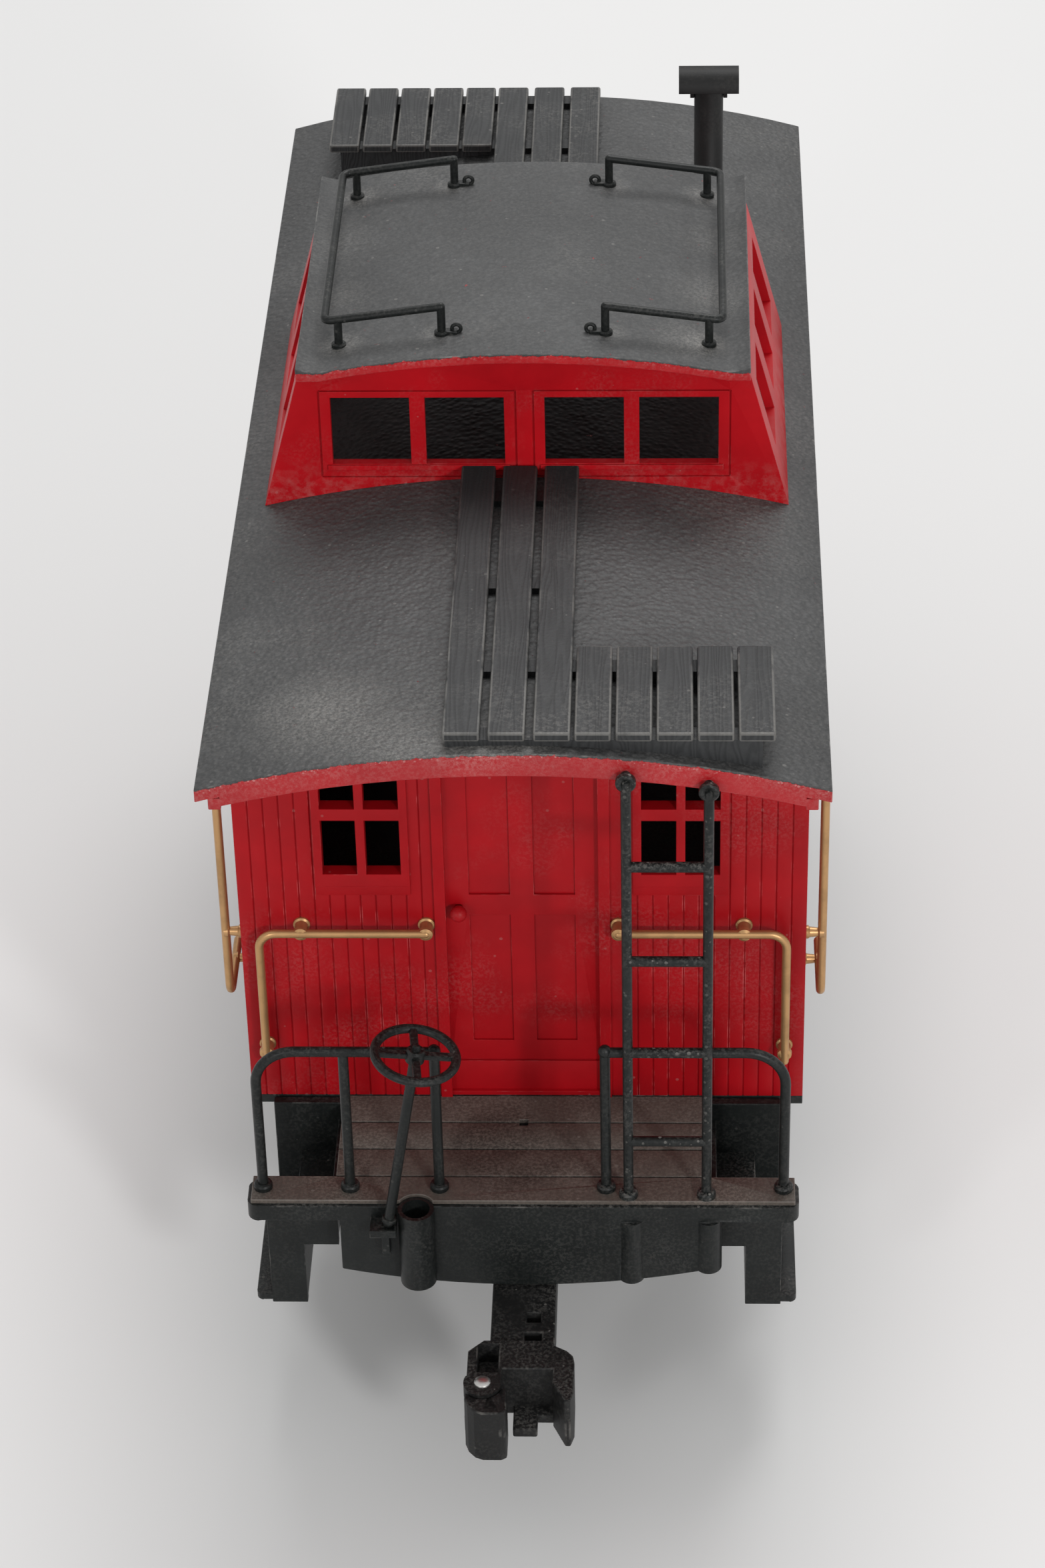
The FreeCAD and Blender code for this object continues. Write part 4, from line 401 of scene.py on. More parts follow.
def make_roof(name, looks, groups, crown, radius, flat, depth, dusty, chalky, painted_light=1.0, cupola_shade=None):
    """Pebbled charcoal coat on top, red moulding below it, with a ragged edge between them."""
    finish = Finish(name, 0.58, 0.42)
    graph = finish.graph
    place = graph.add("ShaderNodeSeparateXYZ", {0: finish.place}).outputs
    across = graph.math("MINIMUM", graph.math("ABSOLUTE", place["X"]), flat)
    arch = graph.math("SQRT", graph.math("SUBTRACT", radius * radius, graph.times(across, across)))
    below = graph.math("SUBTRACT", graph.math("ADD", arch, crown - radius), place["Z"])
    ragged = graph.ramp(graph.noise(finish.place, 520.0, 5.0, 0.75), 0.25, 0.75, -0.1 * MM, 0.75 * MM)
    coat = graph.ramp(graph.math("SUBTRACT", below, ragged), -0.02 * MM, 0.05 * MM, 1.0, 0.0)
    red, dust = red_colour(finish, looks, groups, painted_light)
    fringe = graph.ramp(below, 0.1 * MM, 1.5 * MM, 1.0, 0.0)
    chips = finish.group(groups["specks"], Scale=1900.0, Coverage=0.5, Size=0.7)
    scuff = graph.times(graph.times(fringe, chips), 1.5 * chalky)
    red = graph.mix(scuff, red, (0.62, 0.42, 0.40))
    grit = graph.ramp(graph.noise(finish.place, 1700.0, 3.0, 0.8), 0.42, 0.66)
    drift = graph.ramp(graph.noise(finish.place, 45.0, 3.0, 0.6), 0.32, 0.62, 0.15, 1.0)
    powder = graph.times(graph.times(grit, drift), graph.ramp(below, 0.2 * MM, 7 * MM, chalky, 0.1 * chalky))
    red = graph.mix(powder, red, (0.60, 0.40, 0.37))
    tone_low = scaled(looks.roof, 0.72)
    tone_high = scaled(looks.roof, 1.25)
    black = graph.mix(graph.ramp(graph.noise(finish.place, 26.0, 3.0, 0.55), 0.3, 0.7), tone_low, tone_high)
    haze = finish.group(groups["dust"], Scale=22.0, Low=0.50, High=0.72, Fleck=0.03)
    pebble = finish.group(groups["pebble"])
    # Hollows between the pebbles are painted darker, as painted shade
    black = graph.mix(graph.ramp(pebble, 0.2, 0.75, 0.55, 0.0), black, scaled(looks.roof, 0.45))
    black = graph.mix(graph.times(haze, 0.34 * looks.dustiness), black, looks.dust)
    black = graph.mix(graph.times(grit, 0.07), black, looks.dust)
    for spot, reach, amount in dusty:
        near = graph.times(finish.near(spot, reach), graph.ramp(grit, 0.0, 1.0, 0.25, 1.0))
        black = graph.mix(graph.times(near, amount), black, looks.dust)
    rub = finish.group(groups["rub"], Amount=looks.edge_rub)
    black = graph.mix(graph.times(rub, 0.3), black, looks.dust)
    # The roof under the cupola, seen through its windows, is painted nearly black as painted shade
    if cupola_shade:
        shaded_under_cupola = graph.times(graph.math("LESS_THAN", graph.math("ABSOLUTE", place["X"]), cupola_shade[0]),
                            graph.math("LESS_THAN", graph.math("ABSOLUTE", place["Y"]), cupola_shade[1]))
        black = graph.mix(shaded_under_cupola, black, scaled(looks.roof, 0.08))
    finish.colour(graph.mix(coat, red, black))
    finish.rough(graph.ramp(coat, 0.0, 1.0, 0.45, 0.58))
    finish.bump(graph.times(pebble, coat), depth, 0.9)
    return finish.material


def make_boards(name, colour, looks, groups, pitch, lines, swirl, depth, figure=0.7, stain=None, shade_near_cupola=None):
    """Moulded wood boards with raised grain."""
    finish = Finish(name, 0.56, 0.32)
    graph = finish.graph
    lines_out = finish.group(groups["grain"], "Lines", Pitch=pitch, Lines=lines, Swirl=swirl)
    shade = finish.group(groups["grain"], "Shade", Pitch=pitch)
    dark = scaled(colour, 0.85)
    light = scaled(colour, 1.22, 0.006)
    tint = graph.mix(graph.times(lines_out, figure), dark, light)
    tint = graph.mix(graph.ramp(shade, 0.0, 1.0, 0.0, 0.3), tint, dark)
    up = finish.facing_up()
    dust = finish.group(groups["dust"], Scale=60.0, Low=0.42, High=0.8, Fleck=0.05)
    tint = graph.mix(graph.times(graph.times(dust, up), 0.35 * looks.dustiness), tint, looks.dust)
    rub = finish.group(groups["rub"], Amount=min(1.0, looks.edge_rub + 0.35), Scale=60.0)
    tint = graph.mix(graph.times(rub, 0.22), tint, looks.dust)
    # Narrow grooves between boards painted darker, as painted shade
    groove_shade = graph.add("ShaderNodeAttribute", attribute_name="groove_shade").outputs["Fac"]
    tint = graph.mix(graph.times(groove_shade, 0.8), tint, scaled(colour, 0.2))
    # Boards painted darker towards the cupola, as painted shade
    if shade_near_cupola:
        along = graph.math("ABSOLUTE", graph.add("ShaderNodeSeparateXYZ", {0: finish.place}).outputs["Y"])
        tint = graph.mix(graph.ramp(along, shade_near_cupola[0] * MM, shade_near_cupola[1] * MM, 0.72, 0.0), tint,
                         scaled(colour, 0.3))
    if stain:
        blot = graph.ramp(graph.noise(finish.place, 70.0, 4.0, 0.65, 0.4), 0.40, 0.52)
        near = finish.near(stain, DECK_STAIN_REACH)
        worn = graph.times(graph.ramp(near, 0.0, 0.35), graph.ramp(blot, 0.0, 1.0, 0.35, 0.8))
        tint = graph.mix(worn, tint, scaled(colour, 0.3))
        grit = graph.ramp(graph.noise(finish.place, 1500.0, 3.0, 0.75), 0.42, 0.64)
        patch = graph.ramp(graph.noise(finish.place, 38.0, 3.0, 0.6), 0.35, 0.65, 0.15, 0.55)
        tint = graph.mix(graph.times(grit, patch), tint, scaled(colour, 2.4))
    finish.colour(tint)
    relief = graph.times(lines_out, figure)
    finish.bump(graph.math("ADD", relief, graph.noise(finish.place, 1500.0, 2.0, 0.6)), depth, 0.8)
    return finish.material


def make_black(name, colour, looks, groups, roughness, fleck, dust_share):
    """Satin black plastic with dust on what faces up and specks all over."""
    finish = Finish(name, roughness, 0.26)
    graph = finish.graph
    mottle = graph.ramp(graph.noise(finish.place, 90.0, 4.0, 0.6), 0.3, 0.7)
    tint = graph.mix(mottle, scaled(colour, 0.75), scaled(colour, 1.3))
    up = finish.facing_up(0.2, 0.95)
    dust = finish.group(groups["dust"], Scale=70.0, Low=0.35, High=0.8, Fleck=fleck)
    amount = graph.times(dust, graph.ramp(up, 0.0, 1.0, 0.35, 1.0))
    tint = graph.mix(graph.times(amount, dust_share * looks.dustiness), tint, looks.dust)
    rub = finish.group(groups["rub"], Amount=looks.edge_rub)
    tint = graph.mix(graph.times(rub, 0.22), tint, looks.dust)
    finish.colour(tint)
    finish.rough(graph.ramp(amount, 0.0, 1.0, roughness, min(1.0, roughness + 0.25)))
    finish.bump(graph.noise(finish.place, 1100.0, 3.0, 0.6), 0.04 * MM, 0.6)
    return finish.material


def make_metal(name, colour, looks, groups, roughness, metallic, grime):
    """Metal or metallic paint with slight tarnish."""
    finish = Finish(name, roughness, 0.5, metallic)
    graph = finish.graph
    patch = graph.ramp(graph.noise(finish.place, 160.0, 4.0, 0.65), 0.45, 0.75)
    tint = graph.mix(graph.times(patch, grime), colour, scaled(colour, 0.45))
    rub = finish.group(groups["rub"], Amount=looks.edge_rub)
    finish.colour(graph.mix(graph.times(rub, 0.3), tint, scaled(colour, 1.5)))
    finish.rough(graph.ramp(patch, 0.0, 1.0, roughness, min(1.0, roughness + 0.15)))
    finish.bump(graph.noise(finish.place, 900.0, 2.0, 0.5), 0.02 * MM, 0.5)
    return finish.material


def materials(scene):
    """All finishes by name, made on first use."""
    if MATERIALS:
        return MATERIALS
    looks = scene.caboose_finish
    groups = shader_groups()
    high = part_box("roof_panel")[1]
    half, rise = high.x, ROOF_RISE
    radius = (half * half + rise * rise) / (2 * rise)
    cupola_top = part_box("cupola_roof")[1].z
    cupola_radius = (CUPOLA_FLAT ** 2 + CUPOLA_RISE ** 2) / (2 * CUPOLA_RISE)
    MATERIALS.update({
        "red": make_red("Car Red Moulding", looks, groups),
        "cupola": make_red("Cupola Red Moulding", looks, groups, CUPOLA_PAINTED_LIGHT, high.z),
        "roof": make_roof("Roof Coat", looks, groups, high.z, radius, half, 0.45 * MM, ROOF_DUST, 0.3, 1.0,
                          (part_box("cupola_shell")[1].x - MM, CUPOLA_SHADE_HALF_LENGTH)),
        "cupola_roof": make_roof("Cupola Roof Coat", looks, groups, cupola_top, cupola_radius, CUPOLA_FLAT,
                                 0.17 * MM, CUPOLA_DUST, 0.12, CUPOLA_PAINTED_LIGHT),
        "walk": make_boards("Walk Boards", looks.boards, looks, groups, SHORT_PITCH, 2900.0, 5.0, 0.08 * MM,
                            0.62, shade_near_cupola=CUPOLA_SHADE_ON_BOARDS),
        "deck": make_boards("Deck Boards", looks.deck, looks, groups, 1.0, 900.0, 2.0, 0.05 * MM, 0.2,
                            stain=DECK_STAIN),
        "black": make_black("Frame Black", looks.black, looks, groups, 0.40, 0.05, 0.34),
        "ladder": make_black("Ladder Black", looks.black, looks, groups, 0.40, 0.35, 0.7),
        "soot": make_black("Soot Black", looks.soot, looks, groups, 0.55, 0.03, 0.25),
        "coupler": make_black("Coupler Black", looks.soot, looks, groups, 0.5, 0.09, 0.45),
        "gold": make_metal("Grab Rail Gold", looks.gold, looks, groups, 0.36, 0.75, 0.5),
        "steel": make_metal("Bright Steel", (0.62, 0.61, 0.59), looks, groups, 0.34, 1.0, 0.3),
        "wheel": make_metal("Wheel Metal", (0.10, 0.095, 0.09), looks, groups, 0.42, 0.8, 0.4),
        "brass": make_metal("Bush Brass", (0.62, 0.43, 0.18), looks, groups, 0.32, 1.0, 0.3),
    })
    return MATERIALS


# ---- Mesh helpers ----
def meshed(bm, name):
    """Mesh data from a working mesh."""
    mesh = bpy.data.meshes.new(name)
    bm.to_mesh(mesh)
    bm.free()
    return mesh


def finished(mesh, name=None):
    """Smooth shading with crisp corners, and the named finish."""
    mesh.shade_smooth()
    mesh.set_sharp_from_angle(angle=SMOOTH_BELOW)
    if name:
        mesh.materials.clear()
        mesh.materials.append(MATERIALS[name])
    mesh.validate()
    return mesh


def corners_of(bm, convex):
    """Sharp edges that stick out, or the ones that turn in."""
    return [side for side in bm.edges if len(side.link_faces) == 2 and side.is_convex == convex
            and side.calc_face_angle(0.0) >= SHARP]


def soften(bm, edge):
    """Rounds every moulded outer corner and marks the rubbed corners and the narrow grooves that get painted
    shade.
    """
    groove_shade = bm.faces.layers.float.new("groove_shade")
    rub = bm.faces.layers.float.new("rub")
    for side in corners_of(bm, False):
        for face in side.link_faces:
            if face.calc_area() / max(other.calc_length() for other in face.edges) < GROOVE_WIDTH:
                face[groove_shade] = 1.0
    bmesh.ops.triangulate(bm, faces=[face for face in bm.faces if len(face.verts) > 4])
    corners = [side for side in corners_of(bm, True) if side.calc_length() > 3 * edge]
    if corners and edge > 0:
        made = bmesh.ops.bevel(bm, geom=corners, offset=edge, offset_type="OFFSET", segments=2, profile=0.5,
                               affect="EDGES", clamp_overlap=False, loop_slide=True)
        for face in made["faces"]:
            face[rub] = 1.0
    return bm


def moulded(node, edge, finish):
    """A welded copy of a CAD node with its corners rounded."""
    bm = bmesh.new()
    bm.from_mesh(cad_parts[node].data)
    bmesh.ops.remove_doubles(bm, verts=bm.verts, dist=WELD)
    bmesh.ops.dissolve_limit(bm, angle_limit=FLAT, verts=bm.verts, edges=bm.edges)
    soften(bm, edge)
    mesh = meshed(bm, node)
    layer = mesh.uv_layers.get("UVMap")
    if layer:
        mesh.uv_layers.remove(layer)
    return finished(mesh, finish)


def block(low, high, edge, finish):
    """A board between two corners with rounded edges."""
    bm = bmesh.new()
    bmesh.ops.create_cube(bm, size=1.0)
    for vert in bm.verts:
        vert.co = Vector(high[axis] if vert.co[axis] > 0 else low[axis] for axis in range(3))
    soften(bm, edge)
    return finished(meshed(bm, "board"), finish)


def lathed(profile, place, axis, finish, steps=28):
    """A round piece from (distance along the axis, radius) points in metres."""
    bm = bmesh.new()
    verts = [bm.verts.new((radius, 0, along)) for along, radius in profile]
    edges = [bm.edges.new(pair) for pair in zip(verts, verts[1:])]
    bmesh.ops.spin(bm, geom=verts + edges, cent=(0, 0, 0), axis=(0, 0, 1), angle=2 * math.pi, steps=steps,
                   use_merge=True)
    bmesh.ops.remove_doubles(bm, verts=bm.verts, dist=WELD)
    bmesh.ops.recalc_face_normals(bm, faces=bm.faces)
    bm.faces.layers.float.new("rub")
    turn = Vector((0, 0, 1)).rotation_difference(Vector(axis)).to_matrix().to_4x4()
    bmesh.ops.transform(bm, matrix=Matrix.Translation(place) @ turn, verts=bm.verts)
    return finished(meshed(bm, "lathed"), finish)


def turned(profile, place, axis, finish):
    """A round piece from (distance along the axis, radius) points in millimetres."""
    return lathed([(along * MM, radius * MM) for along, radius in profile], place, axis, finish)


def joined(name, meshes):
    """One object from several meshes, keeping each one's finish."""
    keep, index = [], {}
    bm = bmesh.new()
    for mesh in meshes:
        offset = []
        for material in mesh.materials:
            if material.name not in index:
                index[material.name] = len(keep)
                keep.append(material)
            offset.append(index[material.name])
        before = len(bm.faces)
        bm.from_mesh(mesh)
        bm.faces.ensure_lookup_table()
        for face in bm.faces[before:]:
            face.material_index = offset[min(face.material_index, len(offset) - 1)] if offset else 0
    mesh = meshed(bm, name)
    for material in keep:
        mesh.materials.append(material)
    finished(mesh)
    piece = bpy.data.objects.new(name, mesh)
    bpy.context.scene.collection.objects.link(piece)
    return piece


def moved(mesh, matrix):
    """A turned or mirrored copy that still faces outwards."""
    copy = mesh.copy()
    copy.transform(matrix)
    if matrix.determinant() < 0:
        copy.flip_normals()
    return copy


def place(name, meshes, body, nodes, slot):
    """Joins the meshes into one piece that rides on a body in place of the named nodes."""
    piece = joined(name, meshes)
    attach(piece, body)
    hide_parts(*nodes)
    return piece


def cast(name, node, edge, finish, slot, body="car_body"):
    """One CAD node, softened and finished, as a piece of its own."""
    place(name, [moulded(node, edge, finish)], body, [node], slot)


def place_ends(name, meshes, bodies, nodes, slot):
    """The same piece at the front and, turned half round, at the rear."""
    for end, turn in zip(ENDS, (None, HALF_TURN)):
        parts = meshes if turn is None else [moved(mesh, turn) for mesh in meshes]
        body = bodies if bodies == "car_body" else end + bodies
        place(end + name, parts, body, [end + node for node in nodes], slot)


# ---- Geometry trees ----
def bar_tree():
    """Round bar along a path whose corners are bent to one radius."""
    graph, given, out = geometry_group("Bent Bar", ("Radius", FLOAT, 1 * MM), ("Bend", FLOAT, 3 * MM),
                                       ("Sides", INTEGER, 20))
    bent = graph.add("GeometryNodeFilletCurve", {"Curve": given["Geometry"], "Count": 10,
                                                 "Limit Radius": True, "Radius": given["Bend"]}, mode="POLY")
    ring = graph.add("GeometryNodeCurvePrimitiveCircle", {"Resolution": given["Sides"],
                                                          "Radius": given["Radius"]})
    tube = graph.add("GeometryNodeCurveToMesh", {"Curve": bent.outputs[0], "Profile Curve": ring.outputs[0],
                                                 "Fill Caps": True})
    close_tree(graph, given, out, tube.outputs[0])
    return graph.tree


def row_tree():
    """Copies of the object's own mesh in a straight row."""
    graph, given, out = geometry_group("Row", ("Count", INTEGER, 3), ("Step", VECTOR, None))
    line = graph.add("GeometryNodeMeshLine", {"Count": given["Count"], "Offset": given["Step"]},
                     mode="OFFSET")
    copies = graph.add("GeometryNodeInstanceOnPoints", {"Points": line.outputs[0],
                                                        "Instance": given["Geometry"]})
    close_tree(graph, given, out, copies.outputs[0])
    return graph.tree


def ring_tree():
    """Copies of the object's own mesh turned round the Z axis."""
    graph, given, out = geometry_group("Ring", ("Count", INTEGER, 4))
    points = graph.add("GeometryNodeMeshLine", {"Count": given["Count"], "Offset": (0, 0, 0)}, mode="OFFSET")
    index = graph.add("GeometryNodeInputIndex").outputs[0]
    turn = graph.math("DIVIDE", graph.times(index, 2 * math.pi), given["Count"])
    angle = graph.add("ShaderNodeCombineXYZ", {"Z": turn})
    copies = graph.add("GeometryNodeInstanceOnPoints", {"Points": points.outputs[0],
                                                        "Instance": given["Geometry"],
                                                        "Rotation": angle.outputs[0]})
    close_tree(graph, given, out, copies.outputs[0])
    return graph.tree


def close_tree(graph, given, out, geometry):
    """Realizes the instances and gives them the chosen finish."""
    real = graph.add("GeometryNodeRealizeInstances", {"Geometry": geometry})
    coated = graph.add("GeometryNodeSetMaterial", {"Geometry": real.outputs[0], "Material": given["Finish"]})
    graph.feed(out["Geometry"], coated.outputs[0])


TREES = {}


def grown(data, kind, values, finish):
    """Runs one geometry tree on a mesh or curve and returns the plain mesh."""
    if kind not in TREES:
        TREES[kind] = {"bar": bar_tree, "row": row_tree, "ring": ring_tree}[kind]()
    tree = TREES[kind]
    source = bpy.data.objects.new("source", data)
    bpy.context.scene.collection.objects.link(source)
    modifier = source.modifiers.new(kind, "NODES")
    modifier.node_group = tree
    values = dict(values, Finish=MATERIALS[finish])
    for item in tree.interface.items_tree:
        if item.in_out == "INPUT" and item.name in values:
            modifier[item.identifier] = values[item.name]
    bpy.context.view_layer.update()
    graph = bpy.context.evaluated_depsgraph_get()
    mesh = bpy.data.meshes.new_from_object(source.evaluated_get(graph), preserve_all_data_layers=True,
                                           depsgraph=graph)
    source.modifiers.clear()
    bpy.data.objects.remove(source)
    return finished(mesh)


def bars(paths, radius, bend, finish):
    """Round bars through lists of points, in metres."""
    curve = bpy.data.curves.new("path", "CURVE")
    curve.dimensions = "3D"
    for points in paths:
        spline = curve.splines.new("POLY")
        spline.points.add(len(points) - 1)
        for slot, point in zip(spline.points, points):
            slot.co = (*point, 1.0)
    sides = bpy.context.scene.caboose_sizes.bar_sides
    return grown(curve, "bar", {"Radius": radius, "Bend": bend, "Sides": sides}, finish)


def row(mesh, count, step, finish):
    """The mesh repeated in a straight row."""
    return grown(mesh, "row", {"Count": count, "Step": tuple(step)}, finish)


def hoop(radius, bar, steps):
    """Round section of a ring, in millimetres, as points for a round piece."""
    turns = [math.tau * step / steps for step in range(steps + 1)]
    return [(bar * math.cos(turn) * MM, (radius + bar * math.sin(turn)) * MM) for turn in turns]


def ball(centre, radius, finish, stretch=1.0):
    """Small round end or knob."""
    steps = 9
    profile = []
    for index in range(steps + 1):
        angle = math.pi * index / steps
        profile.append((-radius * stretch * math.cos(angle), radius * math.sin(angle)))
    profile[0] = (profile[0][0], 0.0)
    profile[-1] = (profile[-1][0], 0.0)
    return lathed(profile, centre, (0, 0, 1), finish, 18)


# ---- Places shared by several pieces, in millimetres ----
ROOF_END, BODY_END, BODY_HALF = 133.8, 104.6, 56.9
CROWN, ROOF_RADIUS = 168.4, 218.486
CUPOLA_CROWN, CUPOLA_RADIUS = 199.9, 207.577
FLOOR = 60.6
BAR_R = 1.05


def roof_height(x):
    """Top of the main roof at x, in millimetres."""
    return CROWN - ROOF_RADIUS + math.sqrt(ROOF_RADIUS ** 2 - x ** 2)


def cupola_height(x):
    """Top of the cupola roof at x, in millimetres."""
    return CUPOLA_CROWN - CUPOLA_RADIUS + math.sqrt(CUPOLA_RADIUS ** 2 - x ** 2)


def collar(x, y, z, finish):
    """Rounded foot of a post."""
    profile = [(0, 0), (0, 1.9), (0.9, 1.9), (1.3, 1.7), (1.5, 1.3), (1.5, 0)]
    return turned(profile, mm(x, y, z), (0, 0, 1), finish)


def cleat(x0, x1, y0, y1, under, finish):
    """Bearer between the planks and the arched roof."""
    bm = bmesh.new()
    steps = 10
    rail = [x0 + (x1 - x0) * index / steps for index in range(steps + 1)]
    outline = [(x, roof_height(x)) for x in rail] + [(x1, under), (x0, under)]
    verts = [bm.verts.new(mm(x, y0, z)) for x, z in outline]
    face = bm.faces.new(verts)
    made = bmesh.ops.extrude_face_region(bm, geom=[face])
    for item in made["geom"]:
        if isinstance(item, bmesh.types.BMVert):
            item.co.y = y1 * MM
    bmesh.ops.recalc_face_normals(bm, faces=bm.faces)
    bm.faces.layers.float.new("rub")
    return finished(meshed(bm, "cleat"), finish)


# ---- Operators ----
class Step:
    """What all build steps share."""
    bl_options = {"REGISTER", "UNDO"}


def begin(context):
    """Makes the finishes on first use and gives the sizes."""
    materials(context.scene)
    return context.scene.caboose_sizes


class CABOOSE_OT_body(Step, bpy.types.Operator):
    """Red body walls with tongue-and-groove boards, windows, doors and their knobs"""
    bl_idname = "caboose.body"
    bl_label = "Body"

    def execute(self, context):
        sizes = begin(context)
        cast("body_walls", "body_shell", sizes.edge * 0.6, "red", "red_body")
        cast("turned_knobs", "door_knobs", 0.0, "red", "red_body")
        return {"FINISHED"}


class CABOOSE_OT_roof(Step, bpy.types.Operator):
    """Arched roof plate with its fascia"""
    bl_idname = "caboose.roof"
    bl_label = "Roof"

    def execute(self, context):
        cast("roof_plate", "roof_panel", begin(context).edge * 1.6, "roof", "red_body")
        return {"FINISHED"}


class CABOOSE_OT_walks(Step, bpy.types.Operator):
    """Roof walks: long and short planks on their bearers"""
    bl_idname = "caboose.walks"
    bl_label = "Roof walks"

    long_w, long_pitch, short_w, short_pitch = 7.0, 8.5, 6.9, SHORT_PITCH / MM
    overlap, short_l, thick, cleat_w = 0.8, 29.2, 2.0, 4.0
    wide_cleats, long_cleats = (0.8, 23.2), (52.0, 84.0)
    inset, wide_inset = 0.5, 2.4

    def execute(self, context):
        sizes = begin(context)
        low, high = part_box("front_roof_walk")
        low, high = low / MM, high / MM
        under = high.z - self.thick
        front, back = low.y, high.y
        first = block(mm(low.x, front, under), mm(low.x + self.long_w, back, high.z), sizes.plank_edge,
                      "walk")
        pieces = [row(first, sizes.long_planks, mm(self.long_pitch, 0, 0), "walk")]
        short = low.x + sizes.long_planks * self.long_pitch - self.overlap
        plank = block(mm(short, front, under), mm(short + self.short_w, front + self.short_l, high.z),
                      sizes.plank_edge, "walk")
        pieces.append(row(plank, sizes.short_planks, mm(self.short_pitch, 0, 0), "walk"))
        long_right = low.x + (sizes.long_planks - 1) * self.long_pitch + self.long_w
        left = low.x + self.inset
        for right, starts in ((high.x - self.wide_inset, self.wide_cleats),
                              (long_right - self.inset, self.long_cleats)):
            for y in (front + start for start in starts):
                pieces.append(cleat(left, right, y, y + self.cleat_w, under, "walk"))
        place_ends("walk_planks", pieces, "car_body", ["roof_walk"], "walk_black")
        return {"FINISHED"}


class CABOOSE_OT_cupola(Step, bpy.types.Operator):
    """Cupola walls, its arched roof and the two roof railings with their eyelets"""
    bl_idname = "caboose.cupola"
    bl_label = "Cupola"

    post_x, side_x, end_y, rise, bar, bend = (16.5, 37.4), 40.2, 31.4, 6.2, 0.85, 1.8
    foot, sunk = ((0, 0), (0, 1.5), (0.7, 1.5), (1.0, 1.1), (1.0, 0)), 0.15
    tab, tab_half, tab_edge = 3.2, 0.9, 0.2
    eyelet_out, eyelet_up, eyelet_r, eyelet_bar = 3.0, 1.2, 0.9, 0.4

    def top(self, x):
        return cupola_height(min(x, CUPOLA_FLAT / MM)) + self.rise

    def execute(self, context):
        sizes = begin(context)
        cast("cupola_walls", "cupola_shell", sizes.edge * 0.5, "cupola", "red_body")
        cast("cupola_top", "cupola_roof", sizes.edge * 1.6, "cupola_roof", "roof_black")
        inner = self.post_x[0]
        run = [(inner, -self.end_y), (self.side_x, -self.end_y), (self.side_x, self.end_y),
               (inner, self.end_y)]
        path = [mm(x, y, self.top(x)) for x, y in run]
        parts = [bars([path], self.bar * MM, self.bend * MM, "black")]
        posts = []
        for y in (-self.end_y, self.end_y):
            for x in self.post_x:
                base = cupola_height(x)
                posts.append([mm(x, y, base), mm(x, y, self.top(x))])
                parts.append(turned(self.foot, mm(x, y, base - self.sunk), (0, 0, 1), "black"))
            parts.append(ball(mm(inner, y, self.top(inner)), self.bar * MM, "black"))
            base = cupola_height(inner)
            parts.append(block(mm(inner - self.tab, y - self.tab_half, base - 0.1),
                               mm(inner, y + self.tab_half, base + 0.9), self.tab_edge * MM, "black"))
            eyelet = mm(inner - self.eyelet_out, y, base + self.eyelet_up)
            parts.append(lathed(hoop(self.eyelet_r, self.eyelet_bar, 10), eyelet, (0, 1, 0), "black", 18))
        parts.append(bars(posts, self.bar * MM, 0.0, "black"))
        place("cupola_railing_right", parts, "car_body", ["cupola_rail_right"], "frame_black")
        place("cupola_railing_left", [moved(part, MIRROR) for part in parts], "car_body",
              ["cupola_rail_left"], "frame_black")
        return {"FINISHED"}


class CABOOSE_OT_smokejack(Step, bpy.types.Operator):
    """Smokejack pipe with its half-round hood"""
    bl_idname = "caboose.smokejack"
    bl_label = "Smokejack"

    def execute(self, context):
        sizes = begin(context)
        cast("smoke_pipe", "smokejack_stem", sizes.edge, "soot", "stove_black")
        cast("smoke_hood", "smokejack_hood", sizes.edge, "soot", "stove_black")
        return {"FINISHED"}


class CABOOSE_OT_platforms(Step, bpy.types.Operator):
    """End platforms: casting, boarded deck and the steps on both sides"""
    bl_idname = "caboose.platforms"
    bl_label = "Platforms"

    def execute(self, context):
        sizes = begin(context)
        for name, node, edge, finish, slot in (
                ("platform_casting", "platform_frame", sizes.edge * 1.8, "black", "frame_black"),
                ("deck_boards", "platform_deck", sizes.edge, "deck", "deck_brown"),
                ("step_casting_left", "steps_left", sizes.edge * 1.4, "black", "frame_black"),
                ("step_casting_right", "steps_right", sizes.edge * 1.4, "black", "frame_black")):
            for end in ENDS:
                cast(end + name, end + node, edge, finish, slot)
        return {"FINISHED"}


